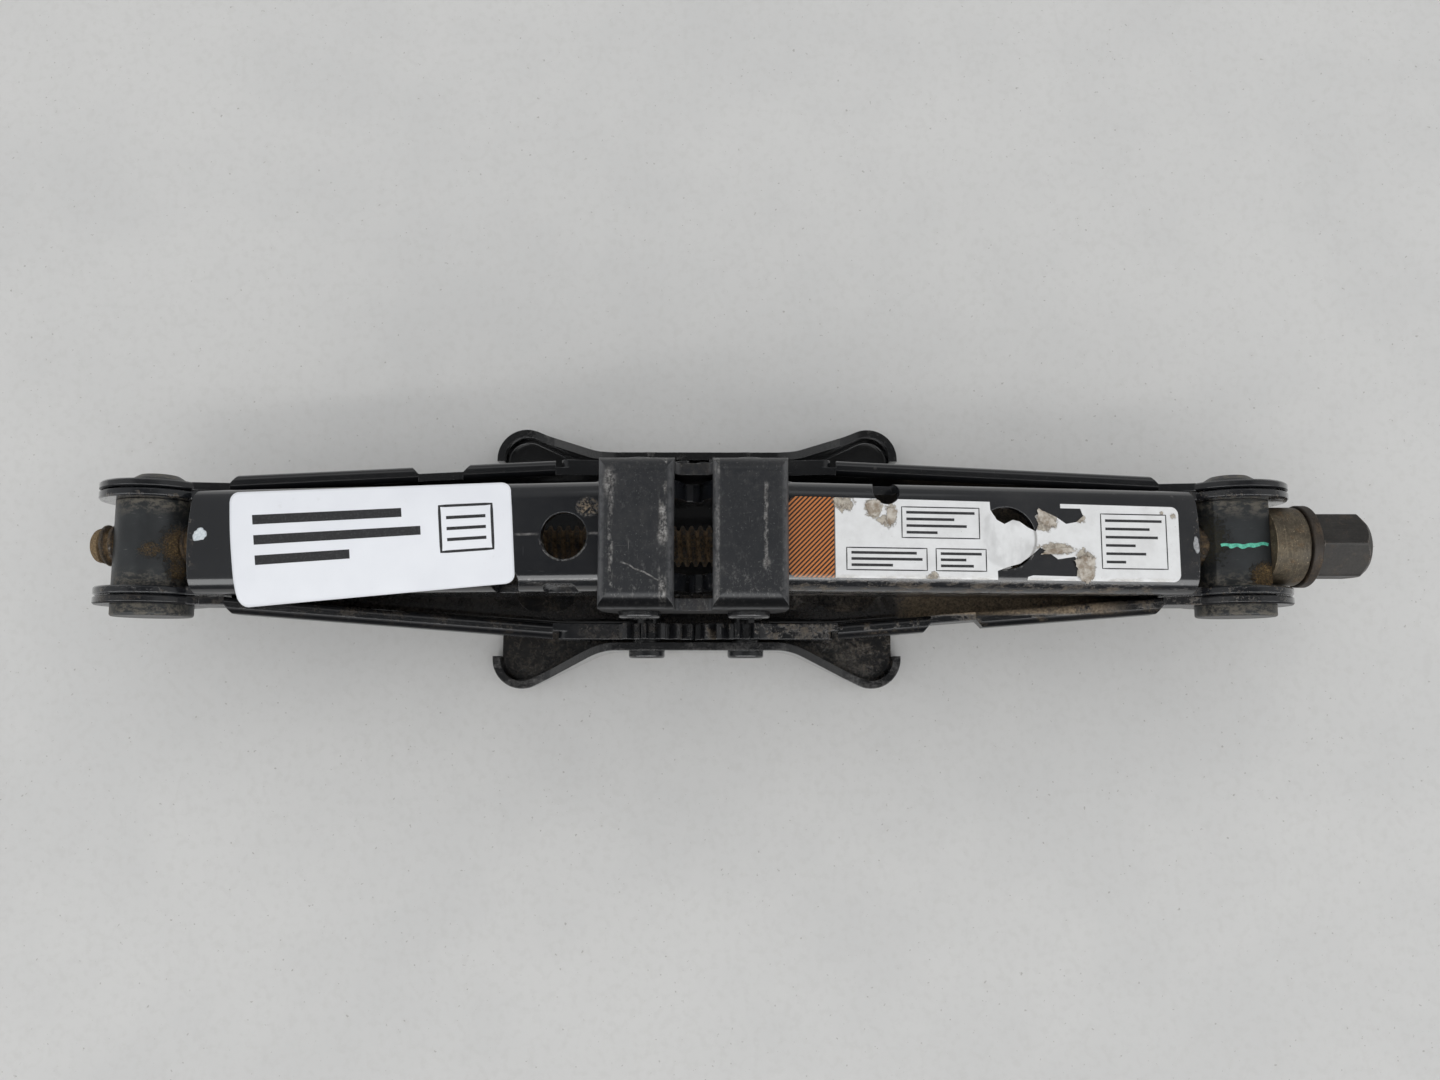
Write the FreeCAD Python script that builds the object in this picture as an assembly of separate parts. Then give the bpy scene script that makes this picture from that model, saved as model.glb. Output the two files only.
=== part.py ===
import FreeCAD, Part
import math
import os

# Scissor jack, collapsed.  Millimetres, +Z up, origin at the centre of the
# underside of the base, +X toward the drive hex.
# "side" is -1 or +1 for the -X or +X half, "flank" is -1 or +1 for -Y or +Y.
os.makedirs("parts", exist_ok=True)
Vector = FreeCAD.Vector

# ---------------------------------------------------------------- dimensions
LINK = 167.0            # pivot to trunnion, all four arms
PIVOT_X = 17.5          # base and saddle pins sit at +-PIVOT_X
BASE_Z = 24.5           # base pin height
TRUN_Z = 45.5           # screw axis height
SADDLE_Z = 66.5         # saddle pin height
REST = math.asin((TRUN_Z - BASE_Z) / LINK)      # slope of the arms
TRUN_X = PIVOT_X + LINK * math.cos(REST)

# gear sectors
TEETH = 18              # teeth in a whole circle
TOOTH_STEP = 360 // TEETH
PITCH_R = PIVOT_X
MODULE = 2.0 * PITCH_R / TEETH
TIP_R = 19.2
ROOT_R = PITCH_R - 1.25 * MODULE
PRESSURE = math.radians(20.0)
GEAR_BASE_R = PITCH_R * math.cos(PRESSURE)
BACKLASH = 0.12
ROOT_GAP = 0.012        # radians left beside each tooth at the root
ARC_STEP = math.radians(4.0)

# upper arms
UP_W = 17.4             # outer half width
UP_T = 2.8
UP_WEB = 13.0           # web outer face above the pivot line
UP_BEND = 5.5
UP_LOW = -12.0          # lower edge of the flanges
UP_TOE = -13.6          # lower edge of the flanges at the pivot
UP_JOIN = 7.4           # upper edge of the flat flanges, inside the web channel
UP_WEB_LOW = 6.9        # the web channel is kept above this
SMALL_HOLE = (42.3, 14.6)       # in the +X upper arm

# lower arms
LO_T = 2.7
LO_END_W = 20.4         # outer half width at the trunnion
LO_GEAR_W = 28.6        # outer half width of the single ply at the gears
LO_WEB = -14.0
LO_TOP = 11.0
LO_BEND = 5.5
LO_TAPER0 = 30.0        # taper starts, from the base pin
LO_TAPER1 = 141.0       # taper ends
LO_WEB_TOP = -7.9       # the web channel is kept below this
HEM = 2.7               # thickness of the ply turned outward
HEM_START = 33.0
HEM_GAP = (64.5, 79.5)  # no hem here on one flange
HEM_RAMP = 2.4          # length of the hem's slanted ends
FOLD_R = 2.2

# arm ends
WEB_CUT = 19.3          # webs stop this far from the trunnion axis
DISC_R = 18.1
EYE_CUT = 14.0          # flanges stop this far from the trunnion axis, where the eye takes over
FLANGE_END = LINK - EYE_CUT

# pins
PIN_R = 5.0
PIN_GAP = 0.05
WALL_PIN_GAP = 0.03     # in the base and saddle walls
BASE_HEAD_R = 6.4
SAD_HEAD_R = 6.75

# trunnions and screw
TRUN_R = 12.9
TRUN_HOLE_R = 12.97
JOURNAL_R = 8.0
STUB_Y = -24.1
SHOULDER_Y = 14.5
BORE_R = 7.12
BORE_CHAMFER = 1.4
SEAT = 9.0              # face of the block that takes the bearing
BLOCK_FLAT = 8.7        # flat on top of the block, above the screw axis
SCREW_R = 7.0
SCREW_CORE_R = 5.3
SCREW_EDGE_R = SCREW_R - 0.12   # where the softened crest starts
PITCH = 3.0
SCREW_END = TRUN_X + 19.9
# one thread ridge: distance from its start, radius
RIDGE = [(0, SCREW_CORE_R), (0.46, SCREW_EDGE_R), (0.58, SCREW_R),
         (1.5, SCREW_R), (1.62, SCREW_EDGE_R), (2.08, SCREW_CORE_R)]

# bearing and drive end, X measured from the +X trunnion axis
BALL_R = 1.7
BALL_RING_R = 9.6
BALL_X = 15.2
BALLS = 12
CUP_END = 20.7
FLANGE_R = 14.0
FLANGE_FACE = 21.0
FLANGE_BEVEL = 23.9
SCREW_SHOULDER = 25.0
SPIGOT_R = 5.5
SPIGOT_END = 38.5
HEX_AF = 21.0
HEX_START, HEX_END = 25.2, 42.7
HEX_LEAD, HEX_TAIL = 0.8, 4.2   # lengths of the turned cones at its ends
HEX_TURN_R = 13.2

# base
BASE_T = 2.8
BASE_X = 75.2
BASE_WALL_Y = 35.0
BASE_WALL_TOP = 33.4
FLARE_X = 33.0          # the side walls start to slant outward here
FLARE = math.atan2(12.6, 27.0)
FLARE_R, BASE_CORNER_R = 24.0, 11.0     # outer plan radii
END_OPEN_Y = 36.5       # half width of the open ends

# saddle
SAD_T = 3.8
SAD_Y = 23.5
SAD_TOP = 86.5
SAD_X = 29.3
PAD_ROLL = 3.4          # radius of the pads' long edges
SLOT = 5.9              # half width of the slot
SLOT_Z = 73.0

# labels, X along the +X upper arm from its pivot
LABEL_T = 0.16
TAG_T = 0.22
LABEL_GAP = 0.01
LABEL_START, LABEL_END = 10.6, 140.4
# torn outlines: X along the arm, Y
TEAR_PLUS_Y = [
    (76.0, 14.0), (76.3, 9.0), (78.4, 5.8), (80.9, 4.5), (83.7, 5.9), (86.0, 5.4),
    (88.6, 3.6), (91.4, 2.3), (92.4, 4.7), (91.2, 7.3), (94.2, 9.0), (98.4, 7.1),
    (101.7, 4.9), (105.2, 5.6), (107.6, 7.6), (106.7, 10.0), (99.9, 10.0), (99.9, 14.0)]
TEAR_MINUS_Y = [
    (78.4, -16.0), (78.2, -10.6), (81.7, -9.3), (85.7, -8.2), (90.0, -5.2),
    (92.6, -2.9), (95.3, -4.2), (98.6, -6.6), (104.3, -5.7), (105.3, -7.9),
    (104.7, -12.1), (90.0, -11.9), (88.3, -12.4), (87.6, -16.0)]
# corners of the paper tag: X along the arm, Y, radius
TAG = [(39.2, 17.1, 2.5), (134.6, 15.6, 2.5), (129.8, -22.1, 2.5), (37.1, -15.0, 2.5)]


# -------------------------------------------------------------------- solids
def box(x0, x1, y0, y1, z0, z1):
    return Part.makeBox(x1 - x0, y1 - y0, z1 - z0, Vector(x0, y0, z0))


def cyl_y(radius, x, z, y0, y1):
    return Part.makeCylinder(radius, y1 - y0, Vector(x, y0, z), Vector(0, 1, 0))


def cyl_z(radius, x, y, z0, z1):
    return Part.makeCylinder(radius, z1 - z0, Vector(x, y, z0), Vector(0, 0, 1))


def screw_cyl(radius, x0, x1, origin=TRUN_X):
    """Cylinder on the screw axis, X measured from origin."""
    return Part.makeCylinder(radius, x1 - x0, Vector(origin + x0, 0, TRUN_Z), Vector(1, 0, 0))


def screw_cone(r0, r1, x0, x1, origin=TRUN_X):
    return Part.makeCone(r0, r1, x1 - x0, Vector(origin + x0, 0, TRUN_Z), Vector(1, 0, 0))


def polygon_face(points):
    return Part.Face(Part.makePolygon(points + points[:1]))


def prism_y(points, y0, y1):
    return polygon_face([Vector(x, y0, z) for x, z in points]).extrude(Vector(0, y1 - y0, 0))


def prism_z(points, z0, z1):
    return polygon_face([Vector(x, y, z0) for x, y in points]).extrude(Vector(0, 0, z1 - z0))


def rounded_wire(corners, to3d):
    """Closed wire through (a, b, radius) corners, rounded where radius > 0."""
    segments = []
    first = last = None
    for i, (bx, by, radius) in enumerate(corners):
        ax, ay, _ = corners[i - 1]
        cx, cy, _ = corners[(i + 1) % len(corners)]
        ux, uy = ax - bx, ay - by
        vx, vy = cx - bx, cy - by
        len_u, len_v = math.hypot(ux, uy), math.hypot(vx, vy)
        ux, uy, vx, vy = ux / len_u, uy / len_u, vx / len_v, vy / len_v
        start = end = (bx, by)
        if radius > 0:
            half = math.acos(ux * vx + uy * vy) / 2
            back = radius / math.tan(half)
            start = (bx + ux * back, by + uy * back)
            end = (bx + vx * back, by + vy * back)
            mx, my = ux + vx, uy + vy
            depth = (radius / math.sin(half) - radius) / math.hypot(mx, my)
            middle = (bx + mx * depth, by + my * depth)
        if first is None:
            first = start
        elif math.dist(start, last) > 1e-6:
            segments.append(Part.makeLine(to3d(*last), to3d(*start)))
        if radius > 0:
            segments.append(Part.Arc(to3d(*start), to3d(*middle), to3d(*end)).toShape())
        last = end
    if math.dist(first, last) > 1e-6:
        segments.append(Part.makeLine(to3d(*last), to3d(*first)))
    return Part.Wire(segments)


def round_prism_z(corners, z0, z1):
    wire = rounded_wire(corners, lambda a, b: Vector(a, b, z0))
    return Part.Face(wire).extrude(Vector(0, 0, z1 - z0))


def round_prism_y(corners, y0, y1):
    wire = rounded_wire(corners, lambda a, b: Vector(a, y0, b))
    return Part.Face(wire).extrude(Vector(0, y1 - y0, 0))


def round_rect_z(x0, x1, y0, y1, radius, z0, z1):
    corners = [(x0, y0, radius), (x1, y0, radius), (x1, y1, radius), (x0, y1, radius)]
    return round_prism_z(corners, z0, z1)


def mirrored(corners):
    """The (a, b, radius) corners reflected in a, in reverse order."""
    return [(-a, b, radius) for a, b, radius in reversed(corners)]


def span(flank, inner, outer):
    """Y range of a wall between two distances from the middle plane."""
    return sorted((flank * inner, flank * outer))


# ---------------------------------------------------------------- operations
def fillet_where(shape, radius, test):
    """Round the edges whose bounding box passes the test."""
    edges = [edge for edge in shape.Edges if test(edge.BoundBox)]
    if not edges:
        raise RuntimeError("no edge to round")
    return shape.makeFillet(radius, edges)


def fillet_rim(shape, radius, y):
    """Round the edges that lie in the plane at y."""
    return fillet_where(shape, radius,
                        lambda b: abs(b.YMin - y) < .01 and abs(b.YMax - y) < .01)


def bent_block(x0, x1, half_width, z0, top, bend):
    """Block with its two upper long edges rounded."""
    block = box(x0, x1, -half_width, half_width, z0, top)
    return fillet_where(block, bend, lambda b: b.ZMin > top - .01 and b.XLength > 50)


def join(first, second):
    """Union of two touching shapes, with a small tolerance if the exact one fails."""
    least = max(first.Volume, second.Volume) - 0.5
    most = first.Volume + second.Volume + 0.5
    for tol in (0.0, 1e-5, 1e-4, 1e-3):
        result = first.fuse([second], tol) if tol else first.fuse(second)
        if result.Solids and result.isValid() and least < result.Volume < most:
            return result
    raise RuntimeError("could not join")


def fuse(*shapes):
    out = shapes[0]
    for shape in shapes[1:]:
        out = join(out, shape)
    return out.removeSplitter()


def one(shape):
    """The single solid in a shape, turned right side out."""
    if len(shape.Solids) != 1:
        raise RuntimeError("expected one solid, got %d" % len(shape.Solids))
    solid = shape.Solids[0]
    if solid.Volume < 0:
        solid.reverse()
    return solid


def mirror_x(shape):
    return shape.mirror(Vector(0, 0, 0), Vector(1, 0, 0))


def swing(shape, angle, pivot_z):
    """Turn a shape from the arm's own frame by angle (+ is nose down) and set it on its pivot."""
    shape.rotate(Vector(0, 0, 0), Vector(0, 1, 0), math.degrees(angle))
    shape.translate(Vector(PIVOT_X, 0, pivot_z))


def pin_hole(x, z, gap):
    return cyl_y(PIN_R + gap, x, z, -60, 60)


# -------------------------------------------------------------- gear sectors
def involute(angle):
    return math.tan(angle) - angle


def half_angle(radius):
    """Half the angle a tooth fills at a radius."""
    widest = math.pi / (2 * TEETH) - BACKLASH / 2 / PITCH_R + involute(PRESSURE)
    if radius <= GEAR_BASE_R:
        return widest
    return widest - involute(math.acos(GEAR_BASE_R / radius))


def root_arc(a0, a1):
    n = max(1, int(math.ceil(abs(a1 - a0) / ARC_STEP)))
    return [(ROOT_R, a0 + (a1 - a0) * k / n) for k in range(n + 1)]


def gear_profile(tooth_angles):
    """Closed profile (radius, angle) with teeth centred on the rising angles, in degrees."""
    radii = [GEAR_BASE_R + (TIP_R - GEAR_BASE_R) * k / 5.0 for k in range(6)]
    angles = [math.radians(a) for a in tooth_angles]
    start = angles[0] - math.pi / TEETH
    stop = angles[-1] + math.pi / TEETH
    root_half = half_angle(0) + ROOT_GAP

    points = root_arc(start, angles[0] - root_half)
    for i, angle in enumerate(angles):
        points += [(r, angle - half_angle(r)) for r in radii]
        points.append((TIP_R, angle))
        points += [(r, angle + half_angle(r)) for r in reversed(radii)]
        following = angles[i + 1] - root_half if i + 1 < len(angles) else stop
        points += root_arc(angle + root_half, following)
    points += root_arc(stop, start + 2 * math.pi)[1:-1]
    return points


def gear_plate(pivot_z, tooth_angles, y0, y1):
    """Toothed disc on the +X pivot.  Angle 0 points along -X, up is positive."""
    points = []
    for radius, angle in gear_profile(tooth_angles):
        point = (PIVOT_X - radius * math.cos(angle), pivot_z + radius * math.sin(angle))
        # coincident neighbours are dropped
        if not points or math.dist(point, points[-1]) > 1e-4:
            points.append(point)
    return prism_y(points, y0, y1)


# ---------------------------------------------------------------------- arms
# drawn for the +X side: pivot at the origin, trunnion at (LINK, 0, 0)
def eye(y0, y1):
    """Round end of a flange with its trunnion hole: wide on -Y, journal size on +Y."""
    hole = TRUN_HOLE_R if y1 < 0 else JOURNAL_R + PIN_GAP
    disc = cyl_y(DISC_R, LINK, 0, y0, y1)
    rims = [e for e in disc.Edges if e.BoundBox.YLength < .01 and e.BoundBox.XLength > 10]
    return disc.makeChamfer(0.5, rims).cut(cyl_y(hole, LINK, 0, y0 - 1, y1 + 1))


def crowned_region(crown_r, web_end, half_width, z0, z1):
    """Space that keeps the web: its trunnion end is an arc."""
    crown = cyl_z(crown_r, web_end - crown_r, 0, z0, z1)
    region = fuse(crown, box(2.0, web_end - 20, -half_width, half_width, z0, z1))
    return region.common(box(2.0, LINK, -half_width, half_width, z0, z1))


def finish_arm(arm, gears, pivot_z, side):
    arm = fuse(arm, *gears)
    arm = one(arm.cut(pin_hole(PIVOT_X, pivot_z, PIN_GAP)))
    return arm if side > 0 else one(mirror_x(arm))


def upper_arm(side):
    """Channel with its web on +Z and a second ply inside each flange at the teeth."""
    wall_in = UP_W - UP_T
    ply_in = wall_in - UP_T
    outer = bent_block(-10, LINK + 25, UP_W, -20, UP_WEB, UP_BEND)
    inner = bent_block(-11, LINK + 26, wall_in, -21, UP_WEB - UP_T, UP_BEND - UP_T)
    channel = outer.cut(inner)
    parts = [channel.common(
        crowned_region(110.0, LINK - WEB_CUT, UP_W + 1, UP_WEB_LOW, UP_WEB + 1))]
    flange = [(0.0, UP_TOE, 0), (14.0, UP_LOW, 25), (FLANGE_END, UP_LOW, 0),
              (FLANGE_END, UP_JOIN, 0), (0.0, UP_JOIN, 0)]
    ply = [(0, UP_TOE, 0), (14, UP_LOW, 6), (27, UP_LOW, 3), (30, 6.5, 3), (0, UP_JOIN, 0)]
    for flank in (-1, 1):
        wall = span(flank, wall_in, UP_W)
        parts.append(round_prism_y(flange, *wall))
        parts.append(eye(*wall))
        parts.append(round_prism_y(ply, *span(flank, ply_in, wall_in)))
    arm = fuse(*parts)
    # openings in the web
    if side < 0:
        arm = arm.cut(cyl_z(7.4, 21.8, -0.3, 0, 20))
        arm = arm.cut(cyl_z(4.6, 40.9, -14.6, 4, 20))
        arm = arm.cut(round_rect_z(18.0, 29.0, -19.5, -15.2, 2, 3.0, 20))
    else:
        arm = arm.cut(cyl_z(10.0, 81.5, 0, 0, 20))
        arm = arm.cut(cyl_z(4.4, *SMALL_HOLE, 4, 20))
    swing(arm, REST, SADDLE_Z)
    on_line = range(-80, 1, TOOTH_STEP)
    off_line = range(-70, -9, TOOTH_STEP)
    gears = []
    for flank in (-1, 1):
        teeth = on_line if flank == -side else off_line
        gears.append(gear_plate(SADDLE_Z, teeth, *span(flank, ply_in, UP_W)))
    return finish_arm(arm, gears, SADDLE_Z, side)


def lower_width(x):
    """Outer half width of the single ply along the arm."""
    if x <= LO_TAPER0:
        return LO_GEAR_W
    if x >= LO_TAPER1:
        return LO_END_W
    share = (x - LO_TAPER0) / (LO_TAPER1 - LO_TAPER0)
    return LO_GEAR_W + (LO_END_W - LO_GEAR_W) * share


def lower_block(x0, x1, inset, z0, z1, bend):
    """Tapered block with its lower long edges rounded."""
    outline = [(x, lower_width(x) - inset) for x in (x0, LO_TAPER0, LO_TAPER1, x1)]
    outline += [(x, -width) for x, width in reversed(outline)]
    return fillet_where(prism_z(outline, z0, z1), bend,
                        lambda b: b.ZMax < z0 + .01 and b.XLength > 10)


def hem_strip(x0, x1, flank, start_ramp):
    """Flange edge with the sheet turned outward and pressed flat, slanted at the ends."""
    # X, distance from the flange's outer face
    outline = [(x0, -LO_T), (x1, -LO_T), (x1, 0), (x1 - HEM_RAMP, HEM), (x0 + start_ramp, HEM)]
    if start_ramp:
        outline.append((x0, 0))
    strip = prism_z([(x, flank * (lower_width(x) + out)) for x, out in outline], 0.5, LO_TOP)
    return fillet_where(strip, FOLD_R, lambda b: b.ZMin > LO_TOP - .01 and b.XLength > 4)


def plain_strip(x0, x1, flank):
    """Flange edge in single ply."""
    stations = [x0, LO_TAPER0, x1] if x0 < LO_TAPER0 < x1 else [x0, x1]
    outline = [(x, flank * (lower_width(x) - LO_T)) for x in stations]
    outline += [(x, flank * lower_width(x)) for x in reversed(stations)]
    return prism_z(outline, 7.0, LO_TOP)


def lower_arm(side):
    """Tapered channel with its web on -Z, hemmed flanges and doubled gear cheeks."""
    outer = lower_block(-12.0, LINK + 24, 0, LO_WEB, 14, LO_BEND)
    inner = lower_block(-13.0, LINK + 25, LO_T, LO_WEB + LO_T, 15, LO_BEND - LO_T)
    channel = outer.cut(inner)
    web = channel.common(
        crowned_region(60.0, LINK - WEB_CUT - .6, 40, LO_WEB - 1, LO_WEB_TOP))
    walls = channel.common(prism_y(
        [(0, -8.4), (FLANGE_END, -8.4), (FLANGE_END, 8.2), (0, 8.2)], -40, 40))
    parts = [web, walls]
    for flank in (-1, 1):
        parts.append(eye(*span(flank, LO_END_W - LO_T, LO_END_W)))
        hems = [(HEM_START, LO_TAPER1, 0.0)]
        plain = [(LO_TAPER1, FLANGE_END), (28.0, HEM_START)]
        if flank == -side:
            hems = [(HEM_START, HEM_GAP[0], 0.0), (HEM_GAP[1], LO_TAPER1, HEM_RAMP)]
            plain.insert(1, HEM_GAP)
        for x0, x1, start_ramp in hems:
            parts.append(hem_strip(x0, x1, flank, start_ramp))
        for x0, x1 in plain:
            parts.append(plain_strip(x0, x1, flank))
    arm = fuse(*parts)
    # window and round hole in the web
    arm = arm.cut(round_rect_z(25.2, 46.4, -20.6, 20.6, 7, LO_WEB - 2, -6))
    arm = arm.cut(cyl_z(6.0, 92.0, 0, LO_WEB - 2, -6))
    swing(arm, -REST, BASE_Z)
    on_line = range(-20, 101, TOOTH_STEP)
    off_line = range(-10, 111, TOOTH_STEP)
    cheek_profile = [(0, -10.5, 0), (27, -8.5, 6), (31.0, 4, 5), (31.0, LO_TOP, 3),
                     (0, LO_TOP, 0)]
    gears = []
    for flank in (-1, 1):
        teeth = on_line if flank == -side else off_line
        y0, y1 = span(flank, LO_GEAR_W - LO_T, LO_GEAR_W + HEM)
        # doubled cheek that carries the teeth
        cheek = round_prism_y(cheek_profile, y0, y1)
        swing(cheek, -REST, BASE_Z)
        gears.append(fuse(gear_plate(BASE_Z, teeth, y0, y1), cheek))
    return finish_arm(arm, gears, BASE_Z, side)


# ----------------------------------------------------------- base and saddle
def base_outline(inset, open_x):
    """Plan of the base moved inward by inset; across the open ends it runs at +-open_x."""
    y_wall = BASE_WALL_Y - inset
    x_end = BASE_X - inset
    # a point on the slanted wall, moved inward square to it
    slant_x = FLARE_X + math.sin(FLARE) * inset
    slant_y = BASE_WALL_Y - math.cos(FLARE) * inset
    flare_x = slant_x + (y_wall - slant_y) / math.tan(FLARE)
    corner_y = slant_y + (x_end - slant_x) * math.tan(FLARE)
    quarter = [(flare_x, y_wall, FLARE_R + inset), (x_end, corner_y, BASE_CORNER_R - inset),
               (x_end, END_OPEN_Y, 0), (open_x, END_OPEN_Y, 0)]
    half = quarter + [(x, -y, radius) for x, y, radius in reversed(quarter)]
    return half + mirrored(half)


def base_plate():
    def within_ends(b):
        limit = END_OPEN_Y + 0.1
        return abs(b.YMax) < limit and abs(b.YMin) < limit

    outer = round_prism_z(base_outline(0.0, BASE_X - 2.6), 0, 40)
    # the edges around the open ends stay sharp
    outer = fillet_where(outer, 2.4, lambda b: b.ZMax < .01
                         and not (within_ends(b) and b.XLength < 3)
                         and not (b.YLength > 60 and b.XLength < 1))
    inner = round_prism_z(base_outline(BASE_T, BASE_X - BASE_T + 12), BASE_T, 41)
    # roots of the slanted walls and rounded corners, not of the straight walls
    inner = fillet_where(inner, 1.2, lambda b: b.ZMax < BASE_T + .01 and b.XLength > 5
                         and max(abs(b.YMin), abs(b.YMax)) < 60
                         and not (within_ends(b) and b.YLength < .1))
    shell = outer.cut(inner)
    wall_edge = [(90, 8.4, 0), (57, 10.0, 14), (31.0, BASE_WALL_TOP, 9)]
    side_view = [(-90, -1, 0), (90, -1, 0)] + wall_edge + mirrored(wall_edge)
    shell = shell.common(round_prism_y(side_view, -70, 70))
    for side in (-1, 1):
        shell = shell.cut(pin_hole(side * PIVOT_X, BASE_Z, WALL_PIN_GAP))
    # drain slots in the floor
    for side in (-1, 1):
        shell = shell.cut(round_rect_z(side * 44, side * 58, -6, 6, 5.9, -2, 5))
    return one(shell)


def saddle():
    """Inverted U with a slot across it that leaves two pads on top."""
    outer = bent_block(-SAD_X, SAD_X, SAD_Y, 40, SAD_TOP, 5.0)
    inner = bent_block(-40, 40, SAD_Y - SAD_T, 39, SAD_TOP - SAD_T, 1.4)
    body = outer.cut(inner)
    edge = [(-SAD_X, SAD_TOP + 3, 0), (-SAD_X, 68, 4), (-26.5, 55.8, 7)]
    body = body.common(round_prism_y(edge + mirrored(edge), -40, 40))
    slot = [(-SLOT, 100, 0), (SLOT, 100, 0), (SLOT, SLOT_Z, 2.5), (-SLOT, SLOT_Z, 2.5)]
    body = body.cut(round_prism_y(slot, -40, 40))
    # both long edges of each pad are rolled down
    roll_z = SAD_TOP - PAD_ROLL
    for edge_x, inward in ((-SAD_X, 1), (-SLOT, -1), (SLOT, 1), (SAD_X, -1)):
        roll_x = edge_x + inward * PAD_ROLL
        x0, x1 = sorted((edge_x - inward * 1.0, roll_x))
        corner = box(x0, x1, -40, 40, roll_z, SAD_TOP + 2)
        body = body.cut(corner.cut(cyl_y(PAD_ROLL, roll_x, roll_z, -41, 41)))
    for side in (-1, 1):
        body = body.cut(pin_hole(side * PIVOT_X, SADDLE_Z, WALL_PIN_GAP))
    return one(body)


def headed_pin(x, z, wall_y, end_y, heads):
    """Pin across two walls; heads are (flank, thickness, radius, edge rounding)."""
    pin = cyl_y(PIN_R, x, z, -wall_y - 1, end_y)
    for flank, thickness, radius, rounding in heads:
        head = cyl_y(radius, x, z, *span(flank, wall_y + 0.02, wall_y + thickness))
        pin = pin.fuse(fillet_rim(head, rounding, flank * (wall_y + thickness)))
    return one(pin.removeSplitter())


def base_pin(side):
    heads = [(-1, 2.6, BASE_HEAD_R, 0.9), (1, 0.8, BASE_HEAD_R - 0.6, 0.5)]
    return headed_pin(side * PIVOT_X, BASE_Z, BASE_WALL_Y, BASE_WALL_Y + 0.5, heads)


def saddle_pin(side):
    heads = [(flank, 2.1, SAD_HEAD_R, 0.8) for flank in (-1, 1)]
    return headed_pin(side * PIVOT_X, SADDLE_Z, SAD_Y, SAD_Y + 1, heads)


# ----------------------------------------------------------------- trunnions
def trunnion(side):
    x, z = side * TRUN_X, TRUN_Z
    body = fillet_rim(cyl_y(TRUN_R, x, z, STUB_Y, SHOULDER_Y), 0.8, STUB_Y)
    journal_end = LO_END_W + 1.75
    body = body.fuse(cyl_y(JOURNAL_R, x, z, SHOULDER_Y - 1, journal_end))
    # upset end of the journal, dished in the middle
    along_y = Vector(0, 1, 0)
    head = Part.makeCone(8.9, 6.3, 1.7, Vector(x, journal_end, z), along_y)
    head = head.cut(Part.makeCone(2.6, 3.6, 0.7, Vector(x, journal_end + 1.1, z), along_y))
    body = body.fuse(head)
    if side > 0:
        # seat for the thrust bearing, and a flat on top
        seat = box(x + SEAT, x + 20, -14.0, SHOULDER_Y + .05, z - 20, z + 20)
        body = body.cut(seat.cut(cyl_y(JOURNAL_R, x, z, SHOULDER_Y, 30)))
        body = body.cut(box(x - 20, x + 20, -14.0, SHOULDER_Y - .05, z + BLOCK_FLAT, z + 20))
    body = body.cut(screw_cyl(BORE_R, -30, 30, x))
    # bore chamfers; the bearing seat has none
    mouth_r = BORE_R + BORE_CHAMFER
    body = body.cut(screw_cone(mouth_r, BORE_R, -TRUN_R, -TRUN_R + BORE_CHAMFER, x))
    if side < 0:
        body = body.cut(screw_cone(BORE_R, mouth_r, TRUN_R - BORE_CHAMFER, TRUN_R, x))
    return one(body.removeSplitter())


def trunnion_washer(side):
    x = side * TRUN_X
    y0 = LO_END_W + 0.1
    y1 = y0 + 1.6
    washer = fillet_rim(cyl_y(9.6, x, TRUN_Z, y0, y1), 0.35, y1)
    return one(washer.cut(cyl_y(JOURNAL_R + 0.06, x, TRUN_Z, 0, 40)))


# ------------------------------------------------------- screw and drive end
def lead_screw():
    """Revolved profile; the thread is shown as rings at the thread pitch."""
    x0, x1 = -SCREW_END, TRUN_X - 14.5
    # X, radius
    profile = [(x0, 0.0), (x0, 4.7), (x0 + 0.8, 5.6), (x0 + 2.9, 6.2), (x0 + 3.1, SCREW_CORE_R)]
    ridges = int((x1 - x0 - 5.0) // PITCH)
    thread_x = x0 + 3.3
    for k in range(ridges):
        profile += [(thread_x + k * PITCH + dx, radius) for dx, radius in RIDGE]
    thread_end = thread_x + ridges * PITCH
    shoulder, tip = TRUN_X + SCREW_SHOULDER, TRUN_X + SPIGOT_END
    profile += [(thread_end, SCREW_CORE_R), (thread_end + 0.8, SCREW_R),
                (shoulder, SCREW_R), (shoulder, SPIGOT_R),
                (tip - 0.5, SPIGOT_R), (tip, SPIGOT_R - 0.5), (tip, 0.0)]
    face = polygon_face([Vector(x, 0, radius) for x, radius in profile])
    rod = face.revolve(Vector(0, 0, 0), Vector(1, 0, 0), 360)
    rod.translate(Vector(0, 0, TRUN_Z))
    return one(rod)


def bearing_cup():
    cup = screw_cyl(13.4, SEAT + 0.05, CUP_END)
    cup = fillet_where(cup, 1.0, lambda b: b.XMin > TRUN_X + CUP_END - 0.1)
    cup = cup.cut(screw_cyl(12.0, 11.2, 30))
    return one(cup.cut(screw_cyl(7.4, 0, 30)))


def bearing_race(r_in, r_out, x0, x1):
    """Ring with a groove for the balls."""
    ring = screw_cyl(r_out, x0, x1).cut(screw_cyl(r_in, x0 - 1, x1 + 1))
    centre = Vector(TRUN_X + BALL_X, 0, TRUN_Z)
    return one(ring.cut(Part.makeTorus(BALL_RING_R, BALL_R + 0.04, centre, Vector(1, 0, 0))))


def bearing_balls():
    out = []
    for k in range(BALLS):
        angle = 2 * math.pi * k / BALLS
        centre = Vector(TRUN_X + BALL_X, BALL_RING_R * math.cos(angle),
                        TRUN_Z + BALL_RING_R * math.sin(angle))
        out.append(Part.makeSphere(BALL_R, centre))
    return Part.makeCompound(out)


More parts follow.
